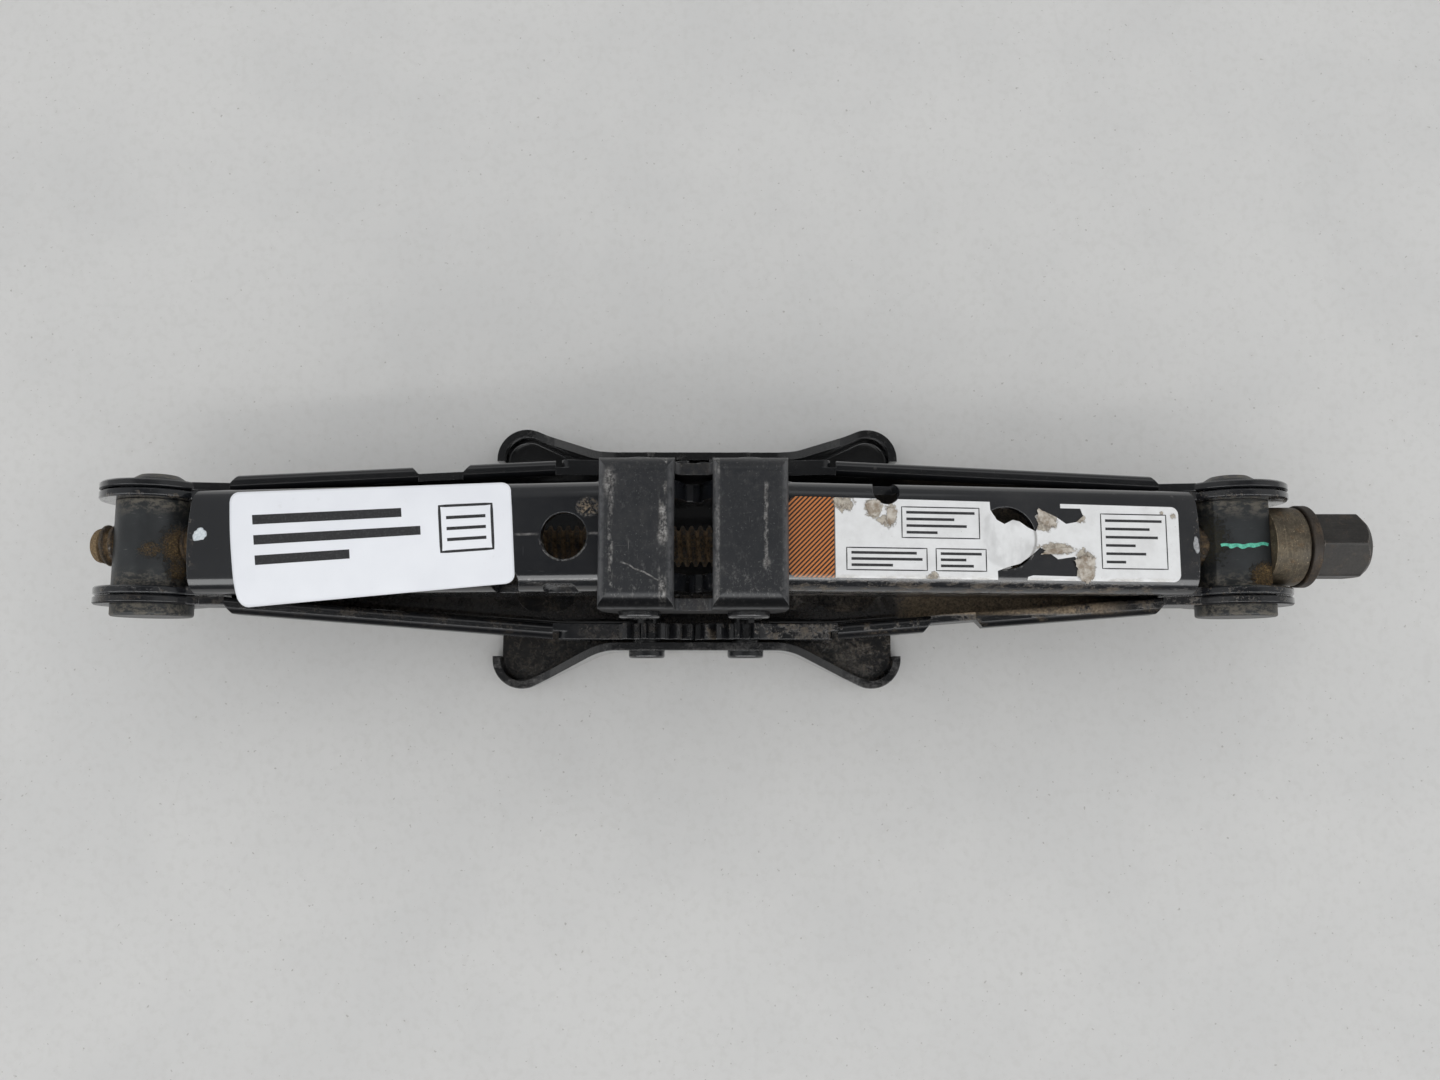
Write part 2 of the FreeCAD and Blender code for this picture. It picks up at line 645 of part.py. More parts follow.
def thrust_flange():
    flange = screw_cyl(FLANGE_R, FLANGE_FACE, FLANGE_BEVEL)
    flange = flange.fuse(screw_cone(FLANGE_R, 12.2, FLANGE_BEVEL, 25.1))
    flange = flange.fuse(screw_cyl(11.4, 18.8, FLANGE_FACE + 0.1))
    flange = flange.removeSplitter()
    flange = fillet_where(flange, 0.5, lambda b: abs(b.XMin - (TRUN_X + FLANGE_FACE)) < .01
                          and b.YLength > 27)
    return one(flange.cut(screw_cyl(SCREW_R + 0.03, 10, 30)))


def drive_hex():
    corner_r = HEX_AF / math.sqrt(3)
    angles = [math.radians(60 * k) for k in range(6)]
    points = [Vector(TRUN_X + HEX_START, corner_r * math.sin(a), TRUN_Z + corner_r * math.cos(a))
              for a in angles]
    body = polygon_face(points).extrude(Vector(HEX_END - HEX_START, 0, 0))
    body = fillet_where(body, 0.9, lambda b: b.XLength > 15)
    # both ends turned to a chamfer
    lead_end, tail_start = HEX_START + HEX_LEAD, HEX_END - HEX_TAIL
    turned = screw_cyl(HEX_TURN_R, lead_end, tail_start)
    turned = turned.fuse(screw_cone(11.2, HEX_TURN_R, HEX_START, lead_end))
    turned = turned.fuse(screw_cone(HEX_TURN_R, 9.6, tail_start, HEX_END))
    body = body.common(turned.removeSplitter())
    return one(body.cut(screw_cyl(SPIGOT_R + 0.03, HEX_START - 1, SPIGOT_END + 0.2)))


# -------------------------------------------------------------------- labels
def instruction_label():
    """Thin sheet over the +X upper arm's web, following its bends."""
    face = LABEL_GAP + LABEL_T
    over = bent_block(-10, 190, UP_W + face, -20, UP_WEB + face, UP_BEND + face)
    under = bent_block(-11, 191, UP_W + LABEL_GAP, -21, UP_WEB + LABEL_GAP,
                       UP_BEND + LABEL_GAP)
    corners = [(LABEL_START, -13.35, 2.5), (LABEL_END, -13.55, 2.5),
               (LABEL_END, 11.1, 2.5), (LABEL_START, 12.1, 2.5)]
    label = over.cut(under).common(round_prism_z(corners, 8, 20))
    # torn away in two places beside the large hole, and cut away over the small one
    label = label.cut(prism_z(TEAR_PLUS_Y, 8, 20))
    label = label.cut(prism_z(TEAR_MINUS_Y, 8, 20))
    label = label.cut(cyl_z(4.5, *SMALL_HOLE, 4, 20))
    swing(label, REST, SADDLE_Z)
    return one(label)


def paper_tag():
    """Flat sheet on the -X upper arm's web."""
    z = UP_WEB + LABEL_GAP
    tag = round_prism_z(TAG, z, z + TAG_T)
    swing(tag, REST, SADDLE_Z)
    return one(mirror_x(tag))


# --------------------------------------------------------------------- write
pieces = {
    "base_plate": base_plate(),
    "saddle": saddle(),
    "trunnion_nut": trunnion(-1),
    "trunnion_block": trunnion(1),
    "lead_screw": lead_screw(),
    "bearing_cup": bearing_cup(),
    "bearing_race_fixed": bearing_race(7.45, 11.9, 11.25, 14.1),
    "bearing_race_turning": bearing_race(7.06, 11.8, 16.3, 18.75),
    "bearing_balls": bearing_balls(),
    "thrust_flange": thrust_flange(),
    "drive_hex": drive_hex(),
    "instruction_label": instruction_label(),
    "paper_tag": paper_tag(),
}
for make in (base_pin, lower_arm, upper_arm, saddle_pin, trunnion_washer):
    pieces[make.__name__ + "_left"] = make(-1)
    pieces[make.__name__ + "_right"] = make(1)
for name, piece in pieces.items():
    piece.exportStep("parts/%s.step" % name)
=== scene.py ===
# A scissor jack. The load head stands over the origin, the spindle runs along X through
# the trunnions at both ends, Y is across and Z is up. "Left" is -X, "right" is +X and
# "front" is -Y. Sizes are in millimetres unless a comment says otherwise.
import math
import operator
import random
from functools import cached_property, reduce

import bmesh
import bpy
from mathutils import Matrix, Vector, noise


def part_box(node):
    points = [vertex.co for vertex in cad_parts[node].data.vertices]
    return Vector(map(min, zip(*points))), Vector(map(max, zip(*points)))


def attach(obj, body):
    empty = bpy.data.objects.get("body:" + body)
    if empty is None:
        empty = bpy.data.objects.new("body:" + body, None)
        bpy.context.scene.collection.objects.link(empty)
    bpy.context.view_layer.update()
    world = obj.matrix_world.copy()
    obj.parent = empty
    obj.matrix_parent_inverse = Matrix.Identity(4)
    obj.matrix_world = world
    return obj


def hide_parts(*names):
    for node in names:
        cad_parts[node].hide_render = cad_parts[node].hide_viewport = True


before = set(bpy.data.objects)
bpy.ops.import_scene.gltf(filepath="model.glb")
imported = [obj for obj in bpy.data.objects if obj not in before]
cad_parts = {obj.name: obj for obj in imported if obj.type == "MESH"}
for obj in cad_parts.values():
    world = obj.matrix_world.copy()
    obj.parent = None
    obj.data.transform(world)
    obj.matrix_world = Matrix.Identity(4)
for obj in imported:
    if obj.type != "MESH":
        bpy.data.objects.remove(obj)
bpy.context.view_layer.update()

MM = 0.001
LEFT, RIGHT = -1, 1

PIVOT_X = 17.5      # upper arm pivots under the load head
SADDLE_Z = 66.5
TRUNNION_Z = 45.5   # spindle axis
ARM_LENGTH = 167.0
ARM_SLOPE = math.asin((SADDLE_Z - TRUNNION_Z) / ARM_LENGTH)
ARM_COS, ARM_SIN = math.cos(ARM_SLOPE), math.sin(ARM_SLOPE)
TRUNNION_X = PIVOT_X + ARM_LENGTH * ARM_COS

WEB_TOP = 13.0      # outer face of an upper arm's web, above its pivot line
WEB_HALF = 17.4     # half width of the web
WEB_BEND = 5.5      # outer radius of the bends beside it
LABEL_LIFT = 0.17   # label face above the web

scene = bpy.context.scene


# ---------------------------------------------------------------- shader fields
class Field:
    """A shader value that takes + - * and abs(); a | b is the larger of two masks.

    Masks run from 0 to 1, lengths are in millimetres.
    """

    def __init__(self, graph, socket):
        self.graph = graph
        self.socket = socket

    def __add__(self, other):
        return self.graph.math("ADD", self, other)

    def __sub__(self, other):
        return self.graph.math("SUBTRACT", self, other)

    def __rsub__(self, other):
        return self.graph.math("SUBTRACT", other, self)

    def __mul__(self, other):
        return self.graph.math("MULTIPLY", self, other)

    def __or__(self, other):
        return self.graph.math("MAXIMUM", self, other)

    def __abs__(self):
        return self.graph.math("ABSOLUTE", self)

    def sqrt(self):
        return self.graph.math("SQRT", self)

    def sine(self):
        return self.graph.math("SINE", self)

    def capped_add(self, other):
        """Sum held within 0..1."""
        return self.graph.math("ADD", self, other, clamp=True)

    def capped_mul(self, other):
        """Product held within 0..1."""
        return self.graph.math("MULTIPLY", self, other, clamp=True)

    def inverse(self):
        return self.graph.math("SUBTRACT", 1.0, self, clamp=True)

    def ramp(self, a, b, at_a=0.0, at_b=1.0):
        """Smooth change from at_a, where the field is a, to at_b, where it is b."""
        if a > b:
            a, b, at_a, at_b = b, a, at_b, at_a
        node = self.graph.node("MapRange", interpolation_type="SMOOTHSTEP")
        self.graph.put(node.inputs["Value"], self)
        node.inputs["From Min"].default_value = a
        node.inputs["From Max"].default_value = b
        node.inputs["To Min"].default_value = at_a
        node.inputs["To Max"].default_value = at_b
        return Field(self.graph, node.outputs["Result"])

    def band(self, a, b, soft):
        """1 between a and b, fading over soft on both sides of each end."""
        return self.ramp(a - soft, a + soft) * self.ramp(b + soft, b - soft)

    def blend(self, under, over):
        """Colour under where this mask is 0, over where it is 1."""
        node = self.graph.node("Mix", data_type="RGBA", clamp_factor=True)
        for index, value in ((0, self), (6, under), (7, over)):
            self.graph.put(node.inputs[index], value)
        return Field(self.graph, node.outputs[2])

    def blend_value(self, under, over):
        """Like blend, for single numbers."""
        node = self.graph.node("Mix", data_type="FLOAT", clamp_factor=True)
        for index, value in ((0, self), (2, under), (3, over)):
            self.graph.put(node.inputs[index], value)
        return Field(self.graph, node.outputs[0])


def distance(*offsets):
    return reduce(operator.add, [offset * offset for offset in offsets]).sqrt()


def union(masks):
    return reduce(operator.or_, masks)


def brighter(color, factor):
    return tuple(min(1.0, c * factor) for c in color)


class Graph:
    """Builds a node tree, starting from an empty one."""

    def __init__(self, tree):
        self.tree = tree
        tree.nodes.clear()

    def node(self, kind, **settings):
        node = self.tree.nodes.new("ShaderNode" + kind)
        for key, value in settings.items():
            setattr(node, key, value)
        return node

    def put(self, socket, value):
        """Link a field to a socket, or store a number or an RGB colour in it."""
        if isinstance(value, Field):
            self.tree.links.new(value.socket, socket)
        elif isinstance(value, tuple):
            socket.default_value = (*value, 1.0)
        else:
            socket.default_value = value

    def math(self, operation, *terms, clamp=False):
        node = self.node("Math", operation=operation, use_clamp=clamp)
        for index, term in enumerate(terms):
            self.put(node.inputs[index], term)
        return Field(self, node.outputs[0])

    def split(self, vector):
        node = self.node("SeparateXYZ")
        self.put(node.inputs[0], vector)
        return [Field(self, socket) for socket in node.outputs]


class Material(Graph):
    """A principled material drawn in object coordinates, in millimetres."""

    def __init__(self, name):
        self.material = bpy.data.materials.new(name)
        self.material.use_nodes = True
        super().__init__(self.material.node_tree)
        self.surface = self.node("BsdfPrincipled")
        output = self.node("OutputMaterial")
        self.tree.links.new(self.surface.outputs[0], output.inputs[0])
        coords = self.node("TexCoord")
        scale = self.node("VectorMath", operation="SCALE")
        self.tree.links.new(coords.outputs["Object"], scale.inputs[0])
        scale.inputs["Scale"].default_value = 1000.0
        self.position = Field(self, scale.outputs[0])
        self.round_normal = None

    @cached_property
    def axes(self):
        """Position as x, y, z."""
        return self.split(self.position)

    @cached_property
    def world_normal(self):
        return Field(self, self.node("NewGeometry").outputs["Normal"])

    @cached_property
    def facing(self):
        """The x, y, z of the normal in object space."""
        turn = self.node("VectorTransform", vector_type="NORMAL",
                         convert_from="WORLD", convert_to="OBJECT")
        self.put(turn.inputs[0], self.world_normal)
        return self.split(Field(self, turn.outputs[0]))

    def place(self, texture, size, shift, stretch=(1, 1, 1)):
        """Feed a texture so that its features are about size across."""
        mapping = self.node("Mapping")
        mapping.inputs["Scale"].default_value = [1.0 / size * s for s in stretch]
        mapping.inputs["Location"].default_value = shift
        self.put(mapping.inputs["Vector"], self.position)
        self.tree.links.new(mapping.outputs[0], texture.inputs["Vector"])
        texture.inputs["Scale"].default_value = 1.0

    def noise(self, size, detail=5.0, rough=0.55, *, seed, stretch=(1, 1, 1), warp=0.0):
        """Noise; a small number in stretch draws it out along that axis."""
        texture = self.node("TexNoise")
        self.place(texture, size, (seed * 3.17, seed * 1.73, seed * 2.39), stretch)
        texture.inputs["Detail"].default_value = detail
        texture.inputs["Roughness"].default_value = rough
        texture.inputs["Distortion"].default_value = warp
        return Field(self, texture.outputs["Fac"])

    def cells(self, size, seed):
        """Distance to the nearest of scattered points."""
        texture = self.node("TexVoronoi")
        self.place(texture, size, (seed * 2.1, seed * 1.1, seed * 3.3))
        return Field(self, texture.outputs["Distance"])

    def ball(self, centre, inner, outer, stretch=(1.0, 1.0, 1.0)):
        """1 within the inner radius of a point, 0 beyond the outer one."""
        offsets = [(axis - c) * (1.0 / s) for axis, c, s in zip(self.axes, centre, stretch)]
        return distance(*offsets).ramp(outer, inner)

    def round_edges(self, radius):
        """Round sharp edges in the shading."""
        bevel = self.node("Bevel", samples=6)
        bevel.inputs["Radius"].default_value = radius * MM
        self.round_normal = Field(self, bevel.outputs[0])

    def edge_mask(self):
        """1 where the rounded normal leaves the true one."""
        dot = self.node("VectorMath", operation="DOT_PRODUCT")
        self.put(dot.inputs[0], self.round_normal)
        self.put(dot.inputs[1], self.world_normal)
        return Field(self, dot.outputs["Value"]).ramp(0.985, 0.90)

    def bump(self, *layers):
        """Relief from pairs of height (0..1) and depth."""
        node = self.node("Bump")
        node.inputs["Strength"].default_value = 1.0
        node.inputs["Distance"].default_value = 1.0
        total = reduce(operator.add, [height * (depth * MM) for height, depth in layers])
        self.put(node.inputs["Height"], total)
        normal = Field(self, node.outputs[0])
        self.put(self.surface.inputs["Normal"], normal)
        if self.round_normal:
            self.put(node.inputs["Normal"], self.round_normal)
            self.put(self.surface.inputs["Coat Normal"], normal)

    def finish(self, color, rough, metal=0.0, coat=0.0, coat_rough=0.15, spec=0.5):
        values = {"Base Color": color, "Roughness": rough, "Metallic": metal,
                  "Coat Weight": coat, "Coat Roughness": coat_rough,
                  "Specular IOR Level": spec}
        for key, value in values.items():
            self.put(self.surface.inputs[key], value)
        return self.material


# -------------------------------------------------------------- general finishes
BLACK = (0.0070, 0.0078, 0.0098)
DUST = (0.135, 0.118, 0.098)
SCRATCH = (0.26, 0.25, 0.24)
PRIMER = (0.16, 0.15, 0.14)
THIN_EDGE_AND_HIGHLIGHT = (0.17, 0.17, 0.172)
WORN_DARK, WORN_LIGHT = (0.055, 0.052, 0.05), (0.32, 0.31, 0.30)
MUD_DARK, MUD_LIGHT = (0.085, 0.064, 0.042), (0.46, 0.355, 0.24)
FRONT_SHADE_BLACK = (0.0035, 0.0035, 0.004)
RUBBED_AND_HIGHLIGHT_LINE = (0.085, 0.086, 0.090)

# y of the normal where the painted shade on faces toward -Y starts and where it is full, then
# how dark it gets
FRONT_SHADE_SETTINGS = {"pads": (-0.16, -0.55, 0.85), "hem": (-0.02, -0.30, 0.35)}


def paint(name, seed, dust, scratch, gloss, tint=BLACK, chips=0.2, edge=0.5, coat=0.9,
          coat_rough=0.09, wear=None, relief=True, grime=None, front_shade=None):
    """Glossy black stoving paint with dust, scratches, rubbed edges that carry a painted
    highlight, optional wear and grime masks and optional painted shade on faces toward -Y.

    gloss is the roughness of clean paint; dust, scratch, chips and edge are strengths.
    """
    mat = Material(name)
    mat.round_edges(radius=0.45)
    rim = mat.edge_mask()
    broad = mat.noise(34, detail=4, rough=0.6, seed=seed)
    fine = mat.noise(2.2, detail=6, rough=0.7, seed=seed + 1)
    speck = mat.noise(0.55, detail=3, rough=0.6, seed=seed + 2)
    color = broad.ramp(0.3, 0.75).blend(tint, brighter(tint, 1.55))

    # dust settles on faces that look up
    face_x, face_y, face_z = mat.facing
    film = (broad * 0.65 + fine * 0.35).ramp(0.42, 0.74) * face_z.ramp(0.1, 0.9, at_a=0.35)
    dots = speck.ramp(0.63, 0.72) * broad.ramp(0.35, 0.65)
    dusty = (film * 0.55).capped_add(dots * 0.6).capped_mul(dust)
    color = dusty.blend(color, DUST)

    # hairline scratches in two directions
    lines_a = mat.noise(1.0, detail=2, rough=0.5, seed=seed + 3,
                        stretch=(0.035, 2.6, 1.0), warp=0.15)
    lines_b = mat.noise(1.0, detail=2, rough=0.5, seed=seed + 4,
                        stretch=(1.9, 0.05, 0.6), warp=0.3)
    where = mat.noise(14, detail=3, rough=0.6, seed=seed + 5).ramp(0.5, 0.68)
    hair = ((lines_a.ramp(0.715, 0.75) | lines_b.ramp(0.725, 0.76)) * where).capped_mul(scratch)
    color = hair.blend(color, SCRATCH)

    # small chips down to grey primer
    chip = mat.cells(5.5, seed=seed + 6).ramp(0.13, 0.07)
    chip = chip * mat.noise(16, detail=2, seed=seed + 7).ramp(0.56, 0.62)
    chip = chip.capped_mul(chips)
    color = chip.blend(color, PRIMER)

    # edges rubbed thin, lightened also as a painted highlight along them
    patchy = mat.noise(3.5, rough=0.75, seed=seed + 12).ramp(0.50, 0.64)
    thin_and_lit = (rim * patchy).capped_mul(edge)
    color = thin_and_lit.blend(color, THIN_EDGE_AND_HIGHLIGHT)

    clean_rough = fine.ramp(0.2, 0.8, at_a=gloss * 0.82, at_b=gloss * 1.3)
    rough = dusty.blend_value(clean_rough, 0.72)
    rough = (hair | thin_and_lit).blend_value(rough, 0.45)
    layers = [(mat.noise(1.6, detail=3, rough=0.5, seed=seed + 8), 0.010),
              (speck * dusty, 0.03), (chip.inverse(), 0.04), (hair.inverse(), 0.008)]
    dull = dusty
    if wear:
        worn = wear(mat).capped_mul(1.0)
        grain = mat.noise(1.3, detail=4, rough=0.7, seed=seed + 9)
        color = worn.blend(color, grain.ramp(0.35, 0.7).blend(WORN_DARK, WORN_LIGHT))
        rough = worn.blend_value(rough, 0.42)
        if relief:
            layers.append((worn.inverse(), 0.03))
    if grime:
        dirt = grime(mat).capped_mul(1.0)
        lump = mat.noise(0.9, detail=6, rough=0.75, seed=seed + 10)
        color = dirt.blend(color, lump.ramp(0.3, 0.72).blend(MUD_DARK, MUD_LIGHT))
        rough = dirt.blend_value(rough, 0.88)
        layers.append((lump * dirt, 0.35))
        dull = dusty | dirt
    mat.bump(*layers)

    shine = dull.capped_mul(1.6).inverse()
    spec = 0.4
    # painted shade: faces turned toward -Y are darkened toward black and lose their shine
    if front_shade:
        start, full, darkness = FRONT_SHADE_SETTINGS[front_shade]
        front = face_y.ramp(start, full)
        shine = shine * front.inverse()
        spec = front.ramp(0.0, 1.0, at_a=0.4, at_b=0.08)
        color = (front * darkness).blend(color, FRONT_SHADE_BLACK)
    if front_shade == "pads":
        # faint pale lines along the edges of the pads, partly rubbed paint and partly a painted
        # highlight
        side = abs(face_x).ramp(0.30, 0.72) * face_z.ramp(0.05, 0.25)
        low = face_y.ramp(-0.86, -0.985) * mat.axes[2].ramp(79.4, 80.4)
        line = (side | low) * fine.ramp(0.34, 0.56, at_a=0.25)
        color = (line * 0.8).blend(color, RUBBED_AND_HIGHLIGHT_LINE)
    return mat.finish(color, rough, coat=shine * coat, coat_rough=coat_rough, spec=spec)


OXIDE_DARK, OXIDE_LIGHT = (0.045, 0.026, 0.013), (0.20, 0.125, 0.062)

# streak stretch, upper end of its ramp, strength, brightening, relief depth
TOOL_MARKS = {
    "round": ((5.0, 0.25, 0.25), 0.75, 0.4, 1.7, 0.012),
    "along": ((0.12, 3.0, 3.0), 0.8, 0.35, 1.5, 0.01),
}


def bare(name, seed, dark=(0.03, 0.026, 0.022), light=(0.17, 0.15, 0.125), rust=0.35,
         metal=0.75, smooth_rough=0.34, marks=None, ridge=2.4, rim=0.4, mottle=0.0):
    """Dull steel with oil film, brown oxide and tool marks round or along the X axis.

    ridge brightens the edges, which are rounded by rim, as worn metal and a painted highlight;
    mottle is the strength of stains.
    """
    mat = Material(name)
    mat.round_edges(rim)
    edges = mat.edge_mask()
    broad = mat.noise(9, rough=0.65, seed=seed)
    fine = mat.noise(0.8, rough=0.7, seed=seed + 1)
    color = (broad * 0.6 + fine * 0.4).ramp(0.33, 0.7).blend(dark, light)
    # edges lightened: worn metal and a painted highlight along them
    patchy = mat.noise(2.5, detail=4, rough=0.7, seed=seed + 8).ramp(0.36, 0.56)
    color = (edges * patchy).blend(color, brighter(light, ridge))
    if mottle:
        stain = mat.noise(2.4, detail=6, rough=0.78, seed=seed + 5)
        color = stain.ramp(0.47, 0.60, at_b=mottle).blend(color, brighter(light, 0.30))
        pit = mat.noise(0.8, detail=3, rough=0.6, seed=seed + 6)
        color = pit.ramp(0.64, 0.70, at_b=mottle).blend(color, brighter(light, 2.6))
    oxide = mat.noise(5, detail=6, rough=0.72, seed=seed + 2).ramp(0.52, 0.66).capped_mul(rust)
    color = oxide.blend(color, fine.ramp(0.3, 0.7).blend(OXIDE_DARK, OXIDE_LIGHT))
    clean_rough = broad.ramp(0.3, 0.7, at_a=smooth_rough, at_b=smooth_rough + 0.18)
    rough = oxide.blend_value(clean_rough, 0.9)
    layers = [(fine, 0.02), (mat.noise(0.5, rough=0.8, seed=seed + 3) * oxide, 0.22)]
    if marks == "round":
        # rings left by turning
        layers.append(((mat.axes[0] * 9.0).sine(), 0.006))
    if marks:
        stretch, top, strength, brightening, depth = TOOL_MARKS[marks]
        streak = mat.noise(1.0, detail=3, rough=0.6, seed=seed + 4, stretch=stretch)
        color = (streak.ramp(0.5, top) * strength).blend(color, brighter(light, brightening))
        layers.append((streak, depth))
    mat.bump(*layers)
    return mat.finish(color, rough, metal=oxide.inverse() * metal)


# --------------------------------------------------------- wear and grime masks
# scrapes on the load head: start x, y, end x, y, half width, ramp of the grain
SCRAPES = (
    (-21.8, -9.6, -9.0, -15.6, 0.40, 0.30, 0.42),
    (-25.4, 11.0, -25.0, -17.0, 0.95, 0.42, 0.54),
    (22.4, 15.0, 22.2, -10.0, 0.85, 0.42, 0.54),
)


def head_wear(mat):
    """Rubbed slot edges, scrapes and scuffs on top of the load head."""
    x, y, z = mat.axes
    wobble = (mat.noise(6, detail=3, seed=150) - 0.5) * 2.4
    grain = mat.noise(1.3, rough=0.78, seed=31, stretch=(1, 0.55, 1))
    slot_edges = x.band(-10.4, -8.2, soft=0.4) | x.band(6.3, 8.0, soft=0.4)
    patch = mat.noise(7, detail=3, rough=0.6, seed=33, stretch=(1, 0.5, 1)).ramp(0.42, 0.50)
    edge = slot_edges * patch * grain.ramp(0.40, 0.51)
    side = abs(x).band(27.2, 29.4, soft=0.4) * grain.ramp(0.58, 0.68, at_b=0.7)

    def scrape(x0, y0, x1, y1, width, grain_low, grain_high):
        length = math.hypot(x1 - x0, y1 - y0)
        ux, uy = (x1 - x0) / length, (y1 - y0) / length
        along = mat.math("MULTIPLY_ADD", y, uy, -(x0 * ux + y0 * uy))
        along = mat.math("MULTIPLY_ADD", x, ux, along)
        aside = mat.math("MULTIPLY_ADD", x, -uy, x0 * uy - y0 * ux)
        aside = mat.math("MULTIPLY_ADD", y, ux, aside)
        line = abs(aside + wobble).ramp(width, width * 0.3)
        return line * along.band(0.0, length, soft=0.8) * grain.ramp(grain_low, grain_high)

    scrapes = union([scrape(*row) for row in SCRAPES])
    # left corner, slot edge and right pad
    scuffs = union([
        mat.ball((-25.8, 15.2, 86.5), inner=0.6, outer=3.4, stretch=(0.8, 1.9, 1.0)),
        mat.ball((-9.3, -1.0, 86.2), inner=0.9, outer=2.2, stretch=(1.0, 2.0, 1.0)),
        mat.ball((22.4, -9.8, 86.5), inner=0.5, outer=1.6, stretch=(1.0, 1.7, 1.0)),
    ]) * grain.ramp(0.38, 0.50)
    haze = y.ramp(-7.0, -19.0, at_a=0.25) * grain.ramp(0.50, 0.66, at_b=0.42)
    speck = mat.noise(0.7, detail=4, rough=0.7, seed=166).ramp(0.60, 0.70, at_b=0.45) | haze
    top = (edge | side | (scrapes * 0.75 | scuffs)) * z.ramp(82.5, 85.5)
    return (top | speck).capped_mul(0.95)


def head_grime(mat):
    """Faint dirt low on the load head."""
    deep = mat.axes[2].ramp(78.0, 70.0) * 0.10
    return deep * mat.noise(4.0, rough=0.7, seed=41).ramp(0.42, 0.62)


def channel_mud(side):
    """Dried mud lying in the open channel of a lower arm."""
    def mask(mat):
        x, y, z = mat.axes
        face_z = mat.facing[2]
        if side == RIGHT:
            outward = x
            along = outward + (mat.noise(5, detail=4, rough=0.65, seed=55) - 0.5) * 9.0
            amount = along.ramp(71, 77, at_a=0.10)
            clump_low, clump_high, hem_amount = 0.34, 0.48, 1.0
        else:
            outward = x * -1.0
            amount = 0.16
            clump_low, clump_high, hem_amount = 0.46, 0.62, 0.35
        up = face_z.ramp(0.0, 0.6, at_a=0.45)
        area = outward.ramp(20, 40) * outward.ramp(148, 128) * y.ramp(-4, -14) * amount
        clumps = (mat.noise(8, rough=0.65, seed=51 + side) * 0.6
                  + mat.noise(1.2, rough=0.7, seed=53) * 0.4)
        mud = area * up * clumps.ramp(clump_low, clump_high)
        floor_dust = up * z.ramp(34, 26)
        floor_dust = floor_dust * (clumps.ramp(0.36, 0.62, at_a=0.25, at_b=0.75) * amount)
        inside = abs(y).ramp(23.8, 22.4)
        eye = mat.ball((TRUNNION_X * side, -19, TRUNNION_Z), inner=8, outer=24)
        eye = eye * clumps.ramp(0.5, 0.62)
        hem = face_z.ramp(0.5, 0.9) * clumps.ramp(0.50, 0.62) * 0.34 * hem_amount
        return ((mud | floor_dust * 0.95) * inside | eye * 0.16
                | hem * y.ramp(0, -10)).capped_mul(0.85)
    return mask


def base_mud(mat):
    """Mud inside the base plate, thicker toward -Y and +X."""
    x, y, z = mat.axes
    clumps = (mat.noise(11, rough=0.65, seed=61) * 0.6
              + mat.noise(1.6, rough=0.7, seed=62) * 0.4)
    inside = z.ramp(9.5, 5.0) * mat.facing[2].ramp(0.2, 0.8)
    near = y.ramp(6, -30) * 1.0     # full strength at the front
    right = x.ramp(-60, 60, at_a=0.55)
    return (inside * clumps.ramp(0.42, 0.66) * (near * right)).capped_mul(0.32)


def base_rim_wear_and_highlight(mat):
    """Rubbed paint on the rim of the base plate, with a painted highlight in streaks along its
    front (-Y) part.
    """
    _, y, z = mat.axes
    rim = mat.facing[2].ramp(0.7, 0.95) * z.ramp(5.0, 8.0)
    # painted highlight: lighter streaks on the rim toward -Y
    near = mat.noise(4, rough=0.7, seed=64, stretch=(0.4, 1, 1)).ramp(0.44, 0.56)
    near = y.ramp(-30.0, -36.0) * near
    anywhere = mat.noise(5, rough=0.7, seed=63).ramp(0.54, 0.64) * 0.35
    return rim.capped_mul(near * 0.25 | anywhere * 0.7)


# hole in each upper arm's web: x, y, radius
WEB_HOLES = {LEFT: (-40.8, -0.3, 7.4), RIGHT: (99.9, 0.0, 10.0)}


def upper_wear_and_highlight(side):
    """Bright lines at the web's cut edge and a ring round the -Y half of its hole; the ring is
    worn paint with a painted highlight.
    """
    def mask(mat):
        x, y, _ = mat.axes
        outward = x * float(side)
        hole_x, hole_y, radius = WEB_HOLES[side]
        dy = y - hole_y
        # worn paint and painted highlight: a light ring on the -Y half of the hole's rim
        hole_ring_wear_and_highlight = distance(x - hole_x, dy).band(radius - 0.4, radius + 0.55, soft=0.15)
        hole_ring_wear_and_highlight = hole_ring_wear_and_highlight * dy.ramp(1.0, -4.0)
        hole_ring_wear_and_highlight = hole_ring_wear_and_highlight * mat.noise(2.6, detail=4, rough=0.7, seed=71 + side).ramp(0.44, 0.56)
        edge = outward.band(163.6, 166.0, soft=0.4)
        edge = edge * mat.noise(2.2, detail=4, rough=0.7, seed=72).ramp(0.60, 0.70)
        low = mat.noise(2.0, rough=0.75, seed=73, stretch=(0.3, 1, 1)).ramp(0.56, 0.68)
        low = y.band(-17.6, -13.0, soft=1.2) * low * 0.6
        if side == LEFT:
            dashes = outward.band(49.5, 56.0, soft=1.5) | outward.band(29.0, 33.0, soft=0.6)
            hole_ring_wear_and_highlight = hole_ring_wear_and_highlight | y.band(0.0, 0.7, soft=0.25) * dashes
        return (hole_ring_wear_and_highlight | edge | low).capped_mul(0.6)
    return mask


